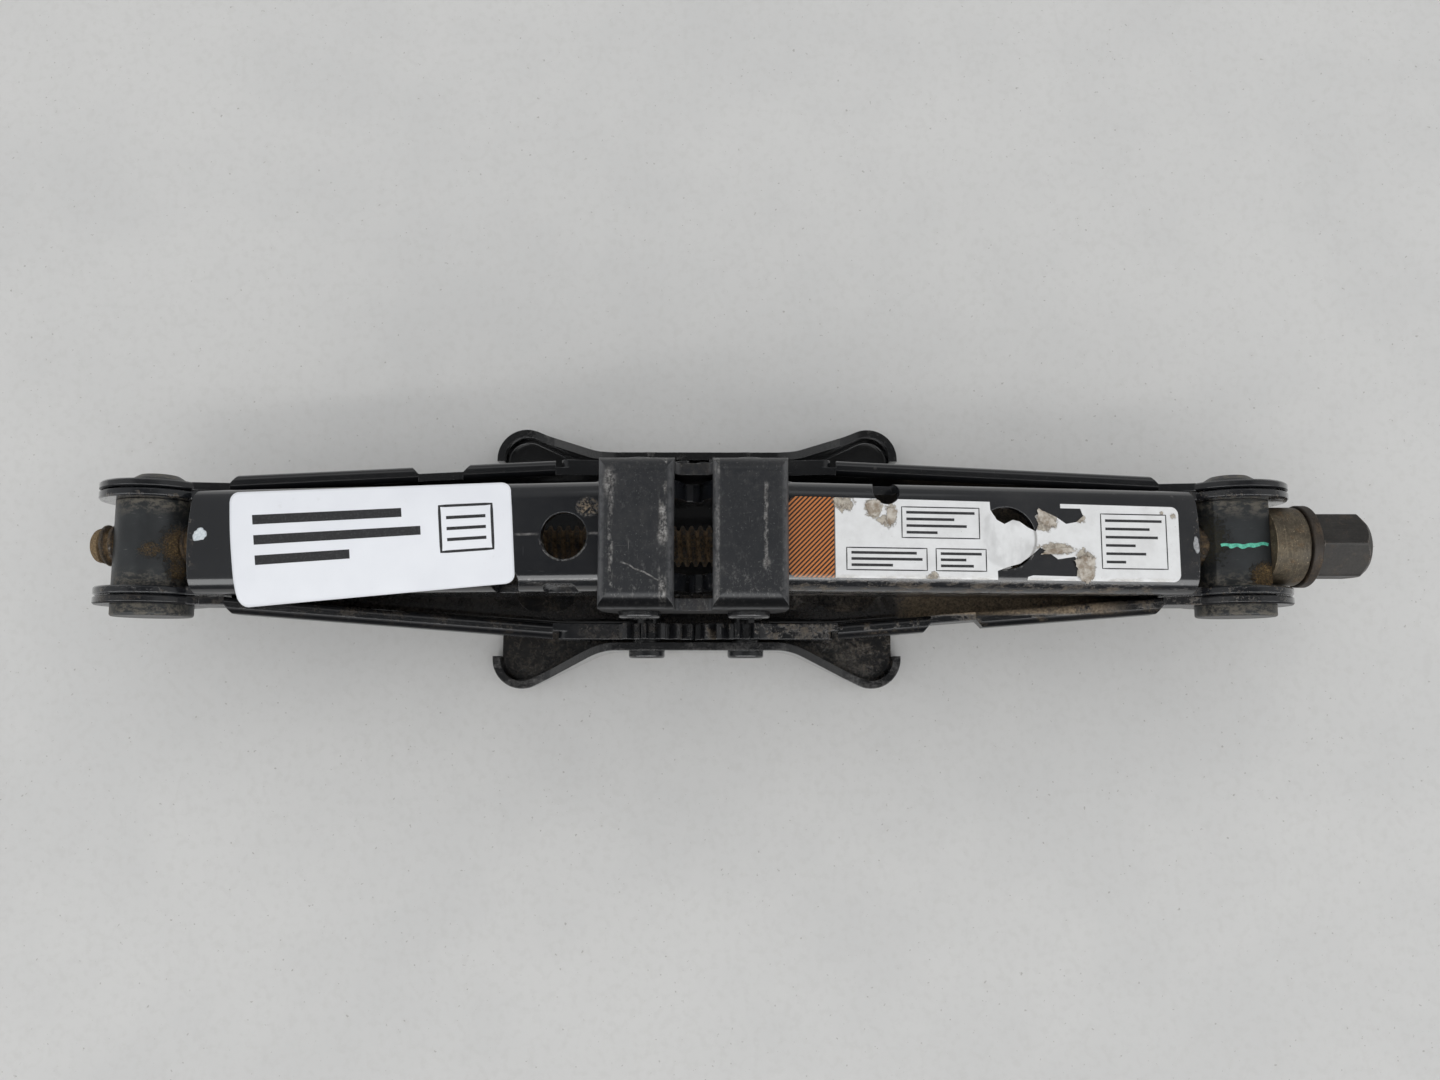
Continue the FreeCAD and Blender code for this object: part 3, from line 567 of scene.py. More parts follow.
def upper_grime(side):
    """Dirt round the trunnion eye and along the front bend of an upper arm."""
    def mask(mat):
        x, y, z = mat.axes
        outward = x * float(side)
        eye = mat.ball((TRUNNION_X * side, 0, TRUNNION_Z), inner=14, outer=30)
        eye = eye * mat.noise(2.4, rough=0.7, seed=75 + side).ramp(0.55, 0.66)
        bend = y.ramp(-12.5, -16.8) * z.ramp(50, 58)
        bend = bend * mat.noise(3.0, rough=0.75, seed=76, stretch=(0.4, 1, 1)).ramp(0.47, 0.62)
        if side == RIGHT:
            bend = bend * (outward.band(30, 150, soft=6) * 0.75)
            return eye * 0.55 | bend * 0.42
        bend = bend * (outward.band(30, 150, soft=4) * 0.12)
        spot = mat.ball((-33.2, 8.7, 77.5), inner=1.4, outer=3.6, stretch=(1.2, 1.0, 1.0))
        spot = spot * mat.noise(0.9, rough=0.75, seed=77).ramp(0.47, 0.56)
        return eye * 0.55 | bend * 0.7 | spot * 0.8
    return mask


# ------------------------------------------------------------- special finishes
def trunnion_paint(name, side):
    """Satin paint, rubbed at both shoulders, with crusted grease next to the spindle."""
    mat = Material(name)
    mat.round_edges(radius=0.5)
    x, y, _ = mat.axes
    broad = mat.noise(9, detail=4, rough=0.6, seed=81 + side)
    fine = mat.noise(0.9, rough=0.7, seed=82)
    color = broad.ramp(0.3, 0.7).blend((0.0085, 0.0100, 0.0112), (0.018, 0.021, 0.023))

    # dust on both shoulders and the front end
    rub = mat.noise(1.8, rough=0.75, seed=83 + side, stretch=(0.5, 1, 1)).ramp(0.43, 0.62)
    rub = abs(y).ramp(7.5, 13.5) * rub
    end = y.ramp(-19.5, -21.0) * mat.noise(2.0, rough=0.75, seed=84 + side).ramp(0.52, 0.66)
    rub = (rub | end * 0.8) * mat.facing[2].ramp(-0.2, 0.5, at_a=0.2, at_b=0.85)
    dust = (0.15, 0.135, 0.11)
    color = rub.blend(color, dust)

    # crusted grease and rust
    lump = mat.noise(1.0, detail=6, rough=0.8, seed=85)
    if side == LEFT:
        crust = mat.ball((-170.6, -1.0, 54.0), inner=2.0, outer=10.5, stretch=(0.95, 1.05, 1.1))
        crust = crust | mat.ball((-171.0, -9.0, 52.5), inner=1.5, outer=7.0) * 0.80
        crust = crust | mat.ball((-178.5, -2.6, 57.5), inner=0.8, outer=4.6,
                                 stretch=(1.6, 1.0, 1.0)) * 0.72
    else:
        crust = mat.ball((190.0, -11.0, 54.0), inner=2.2, outer=7.5, stretch=(1.05, 0.95, 1.0))
        crust = crust | mat.ball((172.6, 1.5, 52.0), inner=2.5, outer=9.0,
                                 stretch=(1.0, 1.5, 1.0)) * 0.72
    grain = mat.noise(0.42, rough=0.85, seed=88)
    ragged = (lump - 0.5) * 3.0 + (grain - 0.5) * 2.4
    crust = (crust + ragged).ramp(0.42, 0.78) * crust.ramp(0.02, 0.25)
    crust_color = grain.ramp(0.38, 0.62).blend((0.030, 0.018, 0.008), (0.34, 0.215, 0.085))
    crust_color = lump.ramp(0.42, 0.62).blend(crust_color, (0.045, 0.030, 0.013))
    if side == RIGHT:
        crust_color = x.ramp(182, 176).blend(crust_color, (0.040, 0.036, 0.022))
    color = crust.blend(color, crust_color)

    hair = mat.noise(1.0, detail=2, rough=0.5, seed=87, stretch=(0.2, 3.0, 1))
    hair = hair.ramp(0.68, 0.74) * 0.35
    scratch = (0.2, 0.19, 0.18)
    color = (hair * broad.ramp(0.45, 0.6)).blend(color, scratch)
    rough = rub.blend_value(fine.ramp(0.2, 0.8, at_a=0.36, at_b=0.5), 0.8)
    rough = crust.blend_value(rough, 0.93)
    mat.bump((fine, 0.012), (grain * crust, 0.7), (lump * crust, 0.5), (fine * rub, 0.04))
    return mat.finish(color, rough, coat=(crust | rub).inverse() * 0.15, coat_rough=0.25)


def thread_finish():
    """Spindle steel with grease packed in the thread roots and a rusty left tip."""
    mat = Material("spindle_finish")
    x, y, z = mat.axes
    broad = mat.noise(12, detail=4, rough=0.6, seed=91)
    fine = mat.noise(0.7, rough=0.7, seed=92)
    lump = mat.noise(1.5, detail=6, rough=0.8, seed=93)
    root = distance(y, z - TRUNNION_Z).ramp(6.5, 5.6)
    steel = fine.ramp(0.3, 0.7).blend((0.045, 0.040, 0.036), (0.13, 0.115, 0.10))
    grease = lump.ramp(0.3, 0.7).blend((0.052, 0.034, 0.018), (0.30, 0.205, 0.115))
    greasy = (root * 0.38 + lump * 0.9 + broad * 0.25).ramp(0.44, 0.72)
    color = greasy.blend(steel, grease)
    tip = x.ramp(-TRUNNION_X - 16.6, -TRUNNION_X - 17.2) * lump.ramp(0.25, 0.42)
    rust = fine.ramp(0.3, 0.7).blend((0.09, 0.055, 0.025), (0.30, 0.21, 0.11))
    color = tip.blend(color, rust)
    dirty = greasy | tip
    rough = dirty.blend_value(0.38, 0.88)
    mat.bump((fine, 0.02), (lump * dirty, 0.9))
    return mat.finish(color, rough, metal=dirty.inverse() * 0.7)


def label_film():
    """White label with a hatched orange end panel, stains and a sag over the web's hole."""
    mat = Material("label_film_finish")
    x, y, z = mat.axes
    along = (x - PIVOT_X) * ARM_COS - (z - SADDLE_Z) * ARM_SIN
    broad = mat.noise(7, rough=0.65, seed=101)
    fine = mat.noise(0.6, rough=0.7, seed=102)
    white = broad.ramp(0.3, 0.8).blend((0.80, 0.805, 0.81), (0.69, 0.69, 0.69))
    hatch_pitch = 1.53
    hatch = ((along + y * -1.0) * (2 * math.pi / hatch_pitch)).sine()
    orange = hatch.ramp(-0.20, 0.30).blend((0.56, 0.190, 0.050), (0.030, 0.016, 0.010))
    color = along.ramp(25.30, 25.10).blend(white, orange)
    seam = along.band(25.00, 25.45, soft=0.10) * 0.8
    color = seam.blend(color, (0.05, 0.03, 0.02))
    rubbed = mat.noise(2.2, rough=0.7, seed=103, stretch=(0.3, 1, 1)).ramp(0.38, 0.62)
    rubbed = y.ramp(-11.8, -13.6) * rubbed

    def spot(centre_along, centre_y, inner, outer, sx=1.0, sy=1.0):
        """Round spot, stretched by sx along the arm and sy across it."""
        offset = (along - centre_along) * (1.0 / sx)
        return distance(offset, (y - centre_y) * (1.0 / sy)).ramp(outer, inner)

    stain = union([
        spot(28.3, 10.2, 1.0, 4.2, sx=1.3) | spot(37.8, 8.6, 1.5, 4.2, sx=0.95, sy=1.15),
        spot(43.4, 6.6, 0.8, 3.2, sx=0.9, sy=1.9) | spot(41.6, 5.0, 0.6, 2.8, sx=1.4),
        spot(94.6, 5.6, 2.0, 4.6, sx=1.2) | spot(98.0, -3.2, 1.4, 3.8, sx=2.4, sy=0.7),
        spot(107.6, -8.4, 2.2, 4.6, sy=1.5) | spot(106.5, 6.6, 0.6, 2.6),
        spot(88.0, -9.4, 0.6, 2.6, sx=2.4, sy=0.7) | spot(57.0, -12.6, 0.4, 2.2, sx=1.6) * 0.9,
        (spot(138.6, 8.2, 0.3, 1.6) | spot(134.6, 9.0, 0.2, 1.1)) * 0.8,
    ])
    lump = mat.noise(1.7, detail=6, rough=0.8, seed=104)
    stain = (stain + (lump - 0.5) * 3.2).ramp(0.40, 0.62) * stain.ramp(0.02, 0.2)
    dirt = lump.ramp(0.36, 0.66).blend((0.13, 0.095, 0.062), (0.50, 0.45, 0.37))
    dirt = (fine.ramp(0.5, 0.7) * 0.6).blend(dirt, (0.56, 0.53, 0.48))
    color = ((stain | rubbed * 0.55) * 0.92).blend(color, dirt)
    specks = mat.noise(0.9, detail=3, seed=105).ramp(0.72, 0.76) * 0.7
    color = specks.blend(color, (0.16, 0.13, 0.10))

    # the film sags a little over the hole beneath it; the grey over the sag and a dark arc on
    # the rim's trunnion side are painted shade
    from_hole = along - 81.5
    hole_distance = distance(from_hole, y)
    sag = hole_distance.ramp(10.4, 8.6)
    rim = hole_distance.band(9.4, 10.2, soft=0.3) * from_hole.ramp(-2.0, 5.0)
    color = (rim * 0.75).blend(color, (0.22, 0.21, 0.20))
    shade = mat.noise(6.0, detail=3, seed=107, stretch=(1, 0.5, 1)).ramp(0.42, 0.62)
    color = (sag * shade * 0.35).blend(color, (0.40, 0.40, 0.40))
    rough = stain.blend_value(sag.blend_value(0.34, 0.22), 0.85)
    mat.bump((fine, 0.006), (lump * stain, 0.25), (mat.noise(9, detail=3, seed=106), 0.05),
             (sag.inverse(), 0.35), (mat.noise(7, detail=2, seed=108) * sag, 0.8))
    return mat.finish(color, rough, coat=stain.inverse() * 0.25, coat_rough=0.12)


def paper_finish():
    mat = Material("tag_paper_finish")
    fibre = mat.noise(0.5, rough=0.7, seed=111)
    broad = mat.noise(22, detail=3, rough=0.5, seed=112)
    color = broad.ramp(0.25, 0.8).blend((0.86, 0.875, 0.915), (0.79, 0.805, 0.85))
    color = (fibre.ramp(0.55, 0.75) * 0.12).blend(color, (0.6, 0.62, 0.66))
    smudge = mat.noise(6, rough=0.7, seed=113).ramp(0.62, 0.75) * 0.12
    color = smudge.blend(color, (0.45, 0.43, 0.40))
    mat.bump((fibre, 0.012), (broad, 0.05))
    return mat.finish(color, fibre.ramp(0.3, 0.7, at_a=0.48, at_b=0.6), spec=0.35)


def torn_paper():
    mat = Material("torn_paper_finish")
    fine = mat.noise(0.9, detail=6, rough=0.75, seed=141)
    broad = mat.noise(4, detail=4, rough=0.6, seed=142)
    color = broad.ramp(0.35, 0.65).blend((0.58, 0.54, 0.48), (0.24, 0.19, 0.14))
    color = (fine.ramp(0.5, 0.7) * 0.5).blend(color, (0.72, 0.70, 0.67))
    mat.bump((fine, 0.08))
    return mat.finish(color, rough=0.85)


def ink_finish(name, color):
    mat = Material(name)
    fine = mat.noise(0.7, detail=4, rough=0.7, seed=121)
    mat.bump((fine, 0.004))
    faded = tuple(min(1.0, c * 2.0 + 0.03) for c in color)
    return mat.finish(fine.ramp(0.45, 0.8).blend(color, faded),
                      fine.ramp(0.3, 0.7, at_a=0.5, at_b=0.65))


def marker_finish(name, dark, light):
    mat = Material(name)
    fine = mat.noise(0.9, rough=0.7, seed=131)
    mat.bump((fine, 0.05))
    return mat.finish(fine.ramp(0.35, 0.65).blend(dark, light),
                      fine.ramp(0.3, 0.7, at_a=0.45, at_b=0.62))


def floor_finish():
    mat = Material("floor_finish")
    broad = mat.noise(70, rough=0.6, seed=201)
    fine = mat.noise(3.0, rough=0.6, seed=202)
    speck = mat.noise(1.6, detail=2, rough=0.5, seed=203)
    color = broad.ramp(0.3, 0.7).blend((0.640, 0.635, 0.625), (0.600, 0.597, 0.590))
    color = (fine.ramp(0.45, 0.7) * 0.20).blend(color, (0.50, 0.49, 0.47))
    color = (speck.ramp(0.71, 0.76) * 0.50).blend(color, (0.25, 0.23, 0.21))
    mat.bump((fine, 0.10), (mat.noise(22, detail=3, seed=204), 0.25))
    return mat.finish(color, rough=0.62, spec=0.3)


CHANNEL_TINT = (0.0085, 0.009, 0.0105)

# finish of each CAD piece
FINISHES = {
    "saddle": paint(
        "load_head_paint", seed=1, dust=0.30, scratch=0.8, gloss=0.44, chips=0.3, edge=1.0,
        tint=(0.0092, 0.0104, 0.0130), coat=0.30, coat_rough=0.22, wear=head_wear,
        relief=False, grime=head_grime, front_shade="pads"),
    "upper_arm_left": paint(
        "upper_left_paint", seed=2, dust=0.10, scratch=0.3, gloss=0.17,
        wear=upper_wear_and_highlight(LEFT), grime=upper_grime(LEFT)),
    "upper_arm_right": paint(
        "upper_right_paint", seed=3, dust=0.18, scratch=0.35, gloss=0.19,
        wear=upper_wear_and_highlight(RIGHT), grime=upper_grime(RIGHT)),
    "lower_arm_left": paint(
        "lower_left_paint", seed=4, dust=0.16, scratch=0.3, gloss=0.2, tint=CHANNEL_TINT,
        grime=channel_mud(LEFT), front_shade="hem"),
    "lower_arm_right": paint(
        "lower_right_paint", seed=5, dust=0.20, scratch=0.3, gloss=0.2, tint=CHANNEL_TINT,
        grime=channel_mud(RIGHT), front_shade="hem"),
    "base_plate": paint(
        "base_paint", seed=6, dust=0.16, scratch=0.25, gloss=0.15,
        tint=(0.0075, 0.0080, 0.0090), wear=base_rim_wear_and_highlight, grime=base_mud),
    "base_pin_left": paint("pin_paint_a", seed=7, dust=0.2, scratch=0.4, gloss=0.2),
    "base_pin_right": paint("pin_paint_b", seed=8, dust=0.2, scratch=0.4, gloss=0.2),
    "saddle_pin_left": paint("pin_paint_c", seed=9, dust=0.3, scratch=0.4, gloss=0.26),
    "saddle_pin_right": paint("pin_paint_d", seed=10, dust=0.3, scratch=0.4, gloss=0.26),
    "trunnion_nut": trunnion_paint("trunnion_left_finish", LEFT),
    "trunnion_block": trunnion_paint("trunnion_right_finish", RIGHT),
    "trunnion_washer_left": paint(
        "washer_paint_a", seed=11, dust=0.5, scratch=0.5, gloss=0.3),
    "trunnion_washer_right": paint(
        "washer_paint_b", seed=12, dust=0.5, scratch=0.5, gloss=0.3),
    "bearing_cup": bare(
        "cup_steel", seed=13, dark=(0.040, 0.032, 0.022), light=(0.150, 0.120, 0.078),
        mottle=0.6, rust=0.75, metal=0.28, smooth_rough=0.48, marks="round"),
    "bearing_race_fixed": bare("race_steel_a", seed=14, marks="round"),
    "bearing_race_turning": bare("race_steel_b", seed=15, marks="round"),
    "bearing_balls": bare(
        "ball_steel", seed=16, dark=(0.25, 0.25, 0.26), light=(0.5, 0.5, 0.52), rust=0.1,
        metal=1.0, smooth_rough=0.12),
    "thrust_flange": bare(
        "flange_steel", seed=17, dark=(0.016, 0.012, 0.009), light=(0.050, 0.038, 0.028),
        metal=0.20, smooth_rough=0.5, marks="round"),
    "drive_hex": bare(
        "hex_steel", seed=18, dark=(0.018, 0.0165, 0.015), light=(0.044, 0.040, 0.036),
        rust=0.18, metal=0.25, smooth_rough=0.42, marks="along", ridge=6.0, rim=0.9),
    "lead_screw": thread_finish(),
    "instruction_label": label_film(),
    "paper_tag": paper_finish(),
}
for node_name, node_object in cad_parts.items():
    node_object.data.materials.clear()
    node_object.data.materials.append(FINISHES[node_name])


# ----------------------------------------------------------------- mesh helpers
def new_piece(name, verts, faces, material, body, smooth=True, thickness=0.0,
              replaces=None):
    mesh = bpy.data.meshes.new(name)
    mesh.from_pydata([tuple(c * MM for c in vert) for vert in verts], [], faces)
    mesh.update()
    piece = bpy.data.objects.new(name, mesh)
    scene.collection.objects.link(piece)
    mesh.materials.append(material)
    if smooth:
        for polygon in mesh.polygons:
            polygon.use_smooth = True
    if thickness:
        solidify = piece.modifiers.new("thickness", "SOLIDIFY")
        solidify.thickness = thickness * MM
        solidify.offset = -1.0
    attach(piece, body)
    if replaces:
        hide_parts(replaces)
    return piece


def grid_faces(columns, rows):
    faces = []
    for j in range(rows):
        for i in range(columns):
            a = j * (columns + 1) + i
            faces.append((a, a + 1, a + columns + 2, a + columns + 1))
    return faces


def ring_faces(first, rings, count):
    """Faces between closed rings of count points, whose first point has index first."""
    faces = []
    for start in range(first, first + (rings - 1) * count, count):
        for i in range(count):
            a, b = start + i, start + (i + 1) % count
            faces.append((a, a + count, b + count, b))
    return faces


def arm_point(side, along, across, above):
    """A point in an upper arm's own frame, measured from its pivot line."""
    x = PIVOT_X + along * ARM_COS + above * ARM_SIN
    z = SADDLE_Z - along * ARM_SIN + above * ARM_COS
    return (side * x, across, z)


# ---------------------------------------------------------------------- spindle
CREST, ROOT, PITCH = 7.0, 5.3, 3.0
THREAD_SEGMENTS = 44
THREAD_STEP = 0.3
THREAD_END = TRUNNION_X - 14.5
RUN_OUT = 1.6                   # length over which the thread fades into the shank
SHANK_END = TRUNNION_X + 25.0
SHANK_END_RADIUS = 5.5

# one pitch of the thread: distance along, radius
THREAD_PROFILE = [
    (0.0, ROOT), (0.42, ROOT + 0.02), (0.92, CREST - 0.1), (1.04, CREST),
    (1.90, CREST), (2.02, CREST - 0.1), (2.52, ROOT + 0.02), (PITCH, ROOT),
]
# hidden stub inside the hex: x, radius
STUB = ((TRUNNION_X + 38.0, 5.5), (TRUNNION_X + 38.5, 5.0))


def profile_radius(along):
    along %= PITCH
    for (a, radius_a), (b, radius_b) in zip(THREAD_PROFILE, THREAD_PROFILE[1:]):
        if a <= along <= b:
            return radius_a + (radius_b - radius_a) * (along - a) / (b - a)


def spindle_radius(x, left_end, segment):
    if x >= SHANK_END - 1e-6:
        return SHANK_END_RADIUS
    if x >= THREAD_END + RUN_OUT:
        return CREST
    # right-hand helix: segments run from +Z toward +Y, a negative turn about +X
    radius = profile_radius(x - left_end + PITCH * (segment / THREAD_SEGMENTS))
    if x > THREAD_END:
        radius += (CREST - radius) * ((x - THREAD_END) / RUN_OUT)
    # rough tapered tip at the left end
    depth = x - left_end
    if x < left_end + 3.1:
        tip = 4.7 + depth * 1.1 if x < left_end + 0.8 else 5.58 + (depth - 0.8) * 0.27
        radius = tip if x < left_end + 2.9 else max(ROOT, min(tip, 6.2))
        angle = 2 * math.pi * segment / THREAD_SEGMENTS
        where = Vector((x * 0.9, math.cos(angle) * 2.2, math.sin(angle) * 2.2))
        radius += 0.16 * noise.noise(where)
    return radius


def make_spindle():
    count = THREAD_SEGMENTS
    left_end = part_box("lead_screw")[0].x / MM
    stations = []
    x = left_end
    while x < THREAD_END + 3.0:
        stations.append(x)
        x += THREAD_STEP
    stations += [THREAD_END + 3.2, SHANK_END - 0.6, SHANK_END - 0.001, SHANK_END]
    rings = [(x, [spindle_radius(x, left_end, k) for k in range(count)]) for x in stations]
    rings += [(x, [radius] * count) for x, radius in STUB]

    verts = []
    for x, radii in rings:
        for k, radius in enumerate(radii):
            angle = 2 * math.pi * k / count
            verts.append((x, radius * math.sin(angle), TRUNNION_Z + radius * math.cos(angle)))
    faces = ring_faces(0, len(rings), count)
    # closed ends, the left one a little dished
    left_centre = len(verts)
    right_centre = left_centre + 1
    last_ring = left_centre - count
    verts.append((left_end + 0.25, 0, TRUNNION_Z))
    verts.append((STUB[-1][0], 0, TRUNNION_Z))
    for k in range(count):
        following = (k + 1) % count
        faces.append((left_centre, k, following))
        faces.append((right_centre, last_ring + following, last_ring + k))
    new_piece("spindle_thread", verts, faces, FINISHES["lead_screw"], "spindle",
              replaces="lead_screw")


make_spindle()


# -------------------------------------------------- loose paper tag, left upper arm
TAG_LENGTH, TAG_WIDTH, TAG_CORNER = 94.0, 36.0, 3.2
TAG_COLUMNS, TAG_ROWS = 96, 38
TAG_END_BOW = 0.96
# corners as (along arm, y): head +Y, trunnion +Y, trunnion -Y, head -Y
TAG_CORNERS = [(39.2, 17.1), (134.6, 15.6), (129.8, -22.1), (37.1, -15.0)]


def tag_flat(p, q):
    """p runs along the arm from the head end, q across from the +Y edge, both 0..1."""
    along, y = [(a * (1 - p) + b * p) * (1 - q) + (d * (1 - p) + c * p) * q
                for a, b, c, d in zip(*TAG_CORNERS)]
    # the trunnion end is cut on a slight curve
    along += TAG_END_BOW * max(0.0, p - 0.9) / 0.1 * (math.sin(math.pi * q) - 1.0)
    return along, y


def tag_height(along, y):
    """Height of the curled tag above the pivot line."""
    height = 13.10
    over = max(0.0, abs(y) - 11.8)
    height -= 0.018 * over * over
    height += 0.05 * math.sin(along * 0.11 + 0.6) + 0.06
    if y < -17.0:
        height -= 0.05 * (abs(y) - 17.0) ** 1.3
    # two opposite corners lift: trunnion end at -Y, head end at +Y
    front_lift = max(0.0, min(1.0, (-y - 6.0) / 14.0))
    height += 0.9 * max(0.0, (along - 118.0) / 16.0) ** 2 * front_lift
    back_lift = max(0.0, min(1.0, (y - 8.0) / 9.0))
    height += 0.5 * max(0.0, (46.0 - along) / 7.0) ** 2 * back_lift
    return height


def corner_centre(value, length):
    """Centre of the corner arc next to value, or None between the corners."""
    if value < TAG_CORNER:
        return TAG_CORNER
    return length - TAG_CORNER if value > length - TAG_CORNER else None


def make_tag():
    verts = []
    for j in range(TAG_ROWS + 1):
        for i in range(TAG_COLUMNS + 1):
            a, b = i / TAG_COLUMNS * TAG_LENGTH, j / TAG_ROWS * TAG_WIDTH
            # round the corners by drawing each corner square onto a quarter disc
            centre_a, centre_b = corner_centre(a, TAG_LENGTH), corner_centre(b, TAG_WIDTH)
            if centre_a is not None and centre_b is not None:
                da, db = a - centre_a, b - centre_b
                square, radius = max(abs(da), abs(db)), math.hypot(da, db)
                if radius > 1e-9:
                    a = centre_a + da * square / radius
                    b = centre_b + db * square / radius
            along, y = tag_flat(a / TAG_LENGTH, b / TAG_WIDTH)
            verts.append(arm_point(LEFT, along, y, tag_height(along, y)))
    new_piece("paper_tag_sheet", verts, grid_faces(TAG_COLUMNS, TAG_ROWS),
              FINISHES["paper_tag"], "left_upper", thickness=0.16,
              replaces="paper_tag")


make_tag()


# ---------------------------------------------------------------- printed strokes
PRINT_LIFT = 0.012
STROKE_STEP = 2.0   # long strokes are divided about this often


def subdivide(points):
    dense = [points[0]]
    for p, q in zip(points, points[1:]):
        n = max(1, int(math.dist(p, q) / STROKE_STEP))
        dense += [(p[0] + (q[0] - p[0]) * k / n, p[1] + (q[1] - p[1]) * k / n)
                  for k in range(1, n + 1)]
    return dense


def ribbons(name, strokes, to_world, material, body, thickness=0.03):
    """Flat strips that follow a surface. strokes: (points, width) pairs."""
    verts, faces = [], []
    for points, width in strokes:
        closed = points[0] == points[-1]
        dense = subdivide(points)
        if closed:
            dense.pop()
        n = len(dense)
        base = len(verts)
        for i, (x, y) in enumerate(dense):
            before = dense[i - 1] if i or closed else dense[i]
            after = dense[(i + 1) % n] if i < n - 1 or closed else dense[i]
            tx, ty = after[0] - before[0], after[1] - before[1]
            length = math.hypot(tx, ty) or 1.0
            nx, ny = -ty / length, tx / length
            left = (x + nx * width / 2, y + ny * width / 2)
            right = (x - nx * width / 2, y - ny * width / 2)
            verts += [to_world(*left, PRINT_LIFT + thickness),
                      to_world(*right, PRINT_LIFT + thickness),
                      to_world(*right, PRINT_LIFT), to_world(*left, PRINT_LIFT)]
        for i in range(n if closed else n - 1):
            a, b = base + 4 * i, base + 4 * ((i + 1) % n)
            for k in range(4):
                faces.append((a + k, a + (k + 1) % 4, b + (k + 1) % 4, b + k))
        if not closed:
            end = base + 4 * (n - 1)
            faces.append((base + 3, base + 2, base + 1, base))
            faces.append((end, end + 1, end + 2, end + 3))
    piece = new_piece(name, verts, faces, material, body, smooth=False)
    work = bmesh.new()
    work.from_mesh(piece.data)
    bmesh.ops.recalc_face_normals(work, faces=work.faces)
    work.to_mesh(piece.data)
    work.free()


def rectangle(cx, cy, w, h):
    return [(cx - w / 2, cy - h / 2), (cx + w / 2, cy - h / 2), (cx + w / 2, cy + h / 2),
            (cx - w / 2, cy + h / 2), (cx - w / 2, cy - h / 2)]


def tag_world(a, b, lift):
    """a runs from the trunnion end toward the head, b across from the -Y edge."""
    along, y = tag_flat(1.0 - a / TAG_LENGTH, 1.0 - b / TAG_WIDTH)
    return arm_point(LEFT, along, y, tag_height(along, y) + lift)


def print_tag():
    """Three heavy bars and a ruled box."""
    ink = ink_finish("print_ink", (0.012, 0.012, 0.014))
    strokes = [([(8.0, y), (end, y)], 3.0) for y, end in ((27.0, 58.0), (20.6, 64.0),
                                                          (14.2, 40.0))]
    strokes.append((rectangle(79.0, 20.6, 17.0, 15.8), 0.9))
    for k in range(3):
        y = 16.8 + 3.8 * k
        strokes.append(([(72.6, y), (85.4, y)], 1.1))
    ribbons("tag_print", strokes, tag_world, ink, "left_upper")


print_tag()


# ----------------------------------------------------- label on the right upper arm
def label_world(along, y, lift):
    """A point on the label's face, over the web and round its bends."""
    radius = WEB_BEND + LABEL_LIFT
    height = WEB_TOP + LABEL_LIFT
    into_bend = abs(y) - (WEB_HALF + LABEL_LIFT - radius)
    if into_bend > 0:
        height += math.sqrt(max(0.0, radius * radius - into_bend * into_bend)) - radius
    return arm_point(RIGHT, along, y, height + lift)


FIELD_LINE, BAR_LINE, BAR_INSET = 0.36, 0.85, 1.5
# outlined fields: start and end along the arm, low and high y, bar lengths as fractions
FORM_FIELDS = (
    (47.0, 72.5, -0.4, 9.4, (1.0, 0.70, 0.88, 0.45)),
    (29.0, 55.0, -10.8, -3.8, (0.92, 1.0, 0.58)),
    (58.0, 74.5, -10.8, -3.8, (1.0, 0.62, 0.80)),
    (113.5, 136.0, -9.4, 8.4, (1.0, 0.78, 0.92, 0.52, 0.70, 0.34)),
)


def print_label():
    strokes = []
    for start, end, low, high, bars in FORM_FIELDS:
        outline = rectangle((start + end) / 2, (low + high) / 2, end - start, high - low)
        strokes.append((outline, FIELD_LINE))
        pitch = (high - low) / (len(bars) + 0.6)
        bar_start = start + BAR_INSET
        full = end - start - 2 * BAR_INSET
        for i, fraction in enumerate(bars):
            y = high - (i + 0.8) * pitch
            strokes.append(([(bar_start, y), (bar_start + full * fraction, y)], BAR_LINE))
    ink = ink_finish("label_ink", (0.014, 0.014, 0.016))
    ribbons("label_print", strokes, label_world, ink, "right_upper")


print_label()

FLAP_COLUMNS, FLAP_ROWS = 18, 10
# torn flaps: letter, centre (along, y), size, angle in degrees, curl height, seed
FLAPS = (
    ("a", (107.9, -9.8), (5.8, 9.0), 8, 0.55, 3),
    ("b", (94.6, 6.4), (6.6, 3.4), 320, 0.55, 4),
    ("c", (98.6, -3.9), (9.5, 2.0), 186, 0.35, 5),
    ("d", (37.8, 8.9), (4.2, 5.2), 12, 0.30, 6),
    ("e", (43.6, 6.4), (3.0, 5.8), 352, 0.25, 7),
)


def make_flap(name, centre, size, angle, curl, seed, material):
    """Small curled scrap of paper with ragged edges."""
    rng = random.Random(seed)
    ragged = [rng.uniform(-0.10, 0.10) for _ in range(FLAP_COLUMNS + FLAP_ROWS + 8)]
    cos, sin = math.cos(math.radians(angle)), math.sin(math.radians(angle))
    verts = []
    for j in range(FLAP_ROWS + 1):
        for i in range(FLAP_COLUMNS + 1):
            p, q = i / FLAP_COLUMNS - 0.5, j / FLAP_ROWS - 0.5
            x = p * size[0] * (1 + 0.5 * q + ragged[j])
            y = q * size[1] * (1 - 0.6 * abs(p) + ragged[FLAP_ROWS + i])
            crumple = 0.06 * noise.noise(Vector((x * 0.8, y * 0.8, seed)))
            height = 0.02 + curl * (q + 0.5) ** 2.2 + crumple
            verts.append(label_world(centre[0] + x * cos - y * sin,
                                     centre[1] + x * sin + y * cos, max(0.015, height)))
    new_piece(name, verts, grid_faces(FLAP_COLUMNS, FLAP_ROWS), material, "right_upper",
              thickness=-0.10)


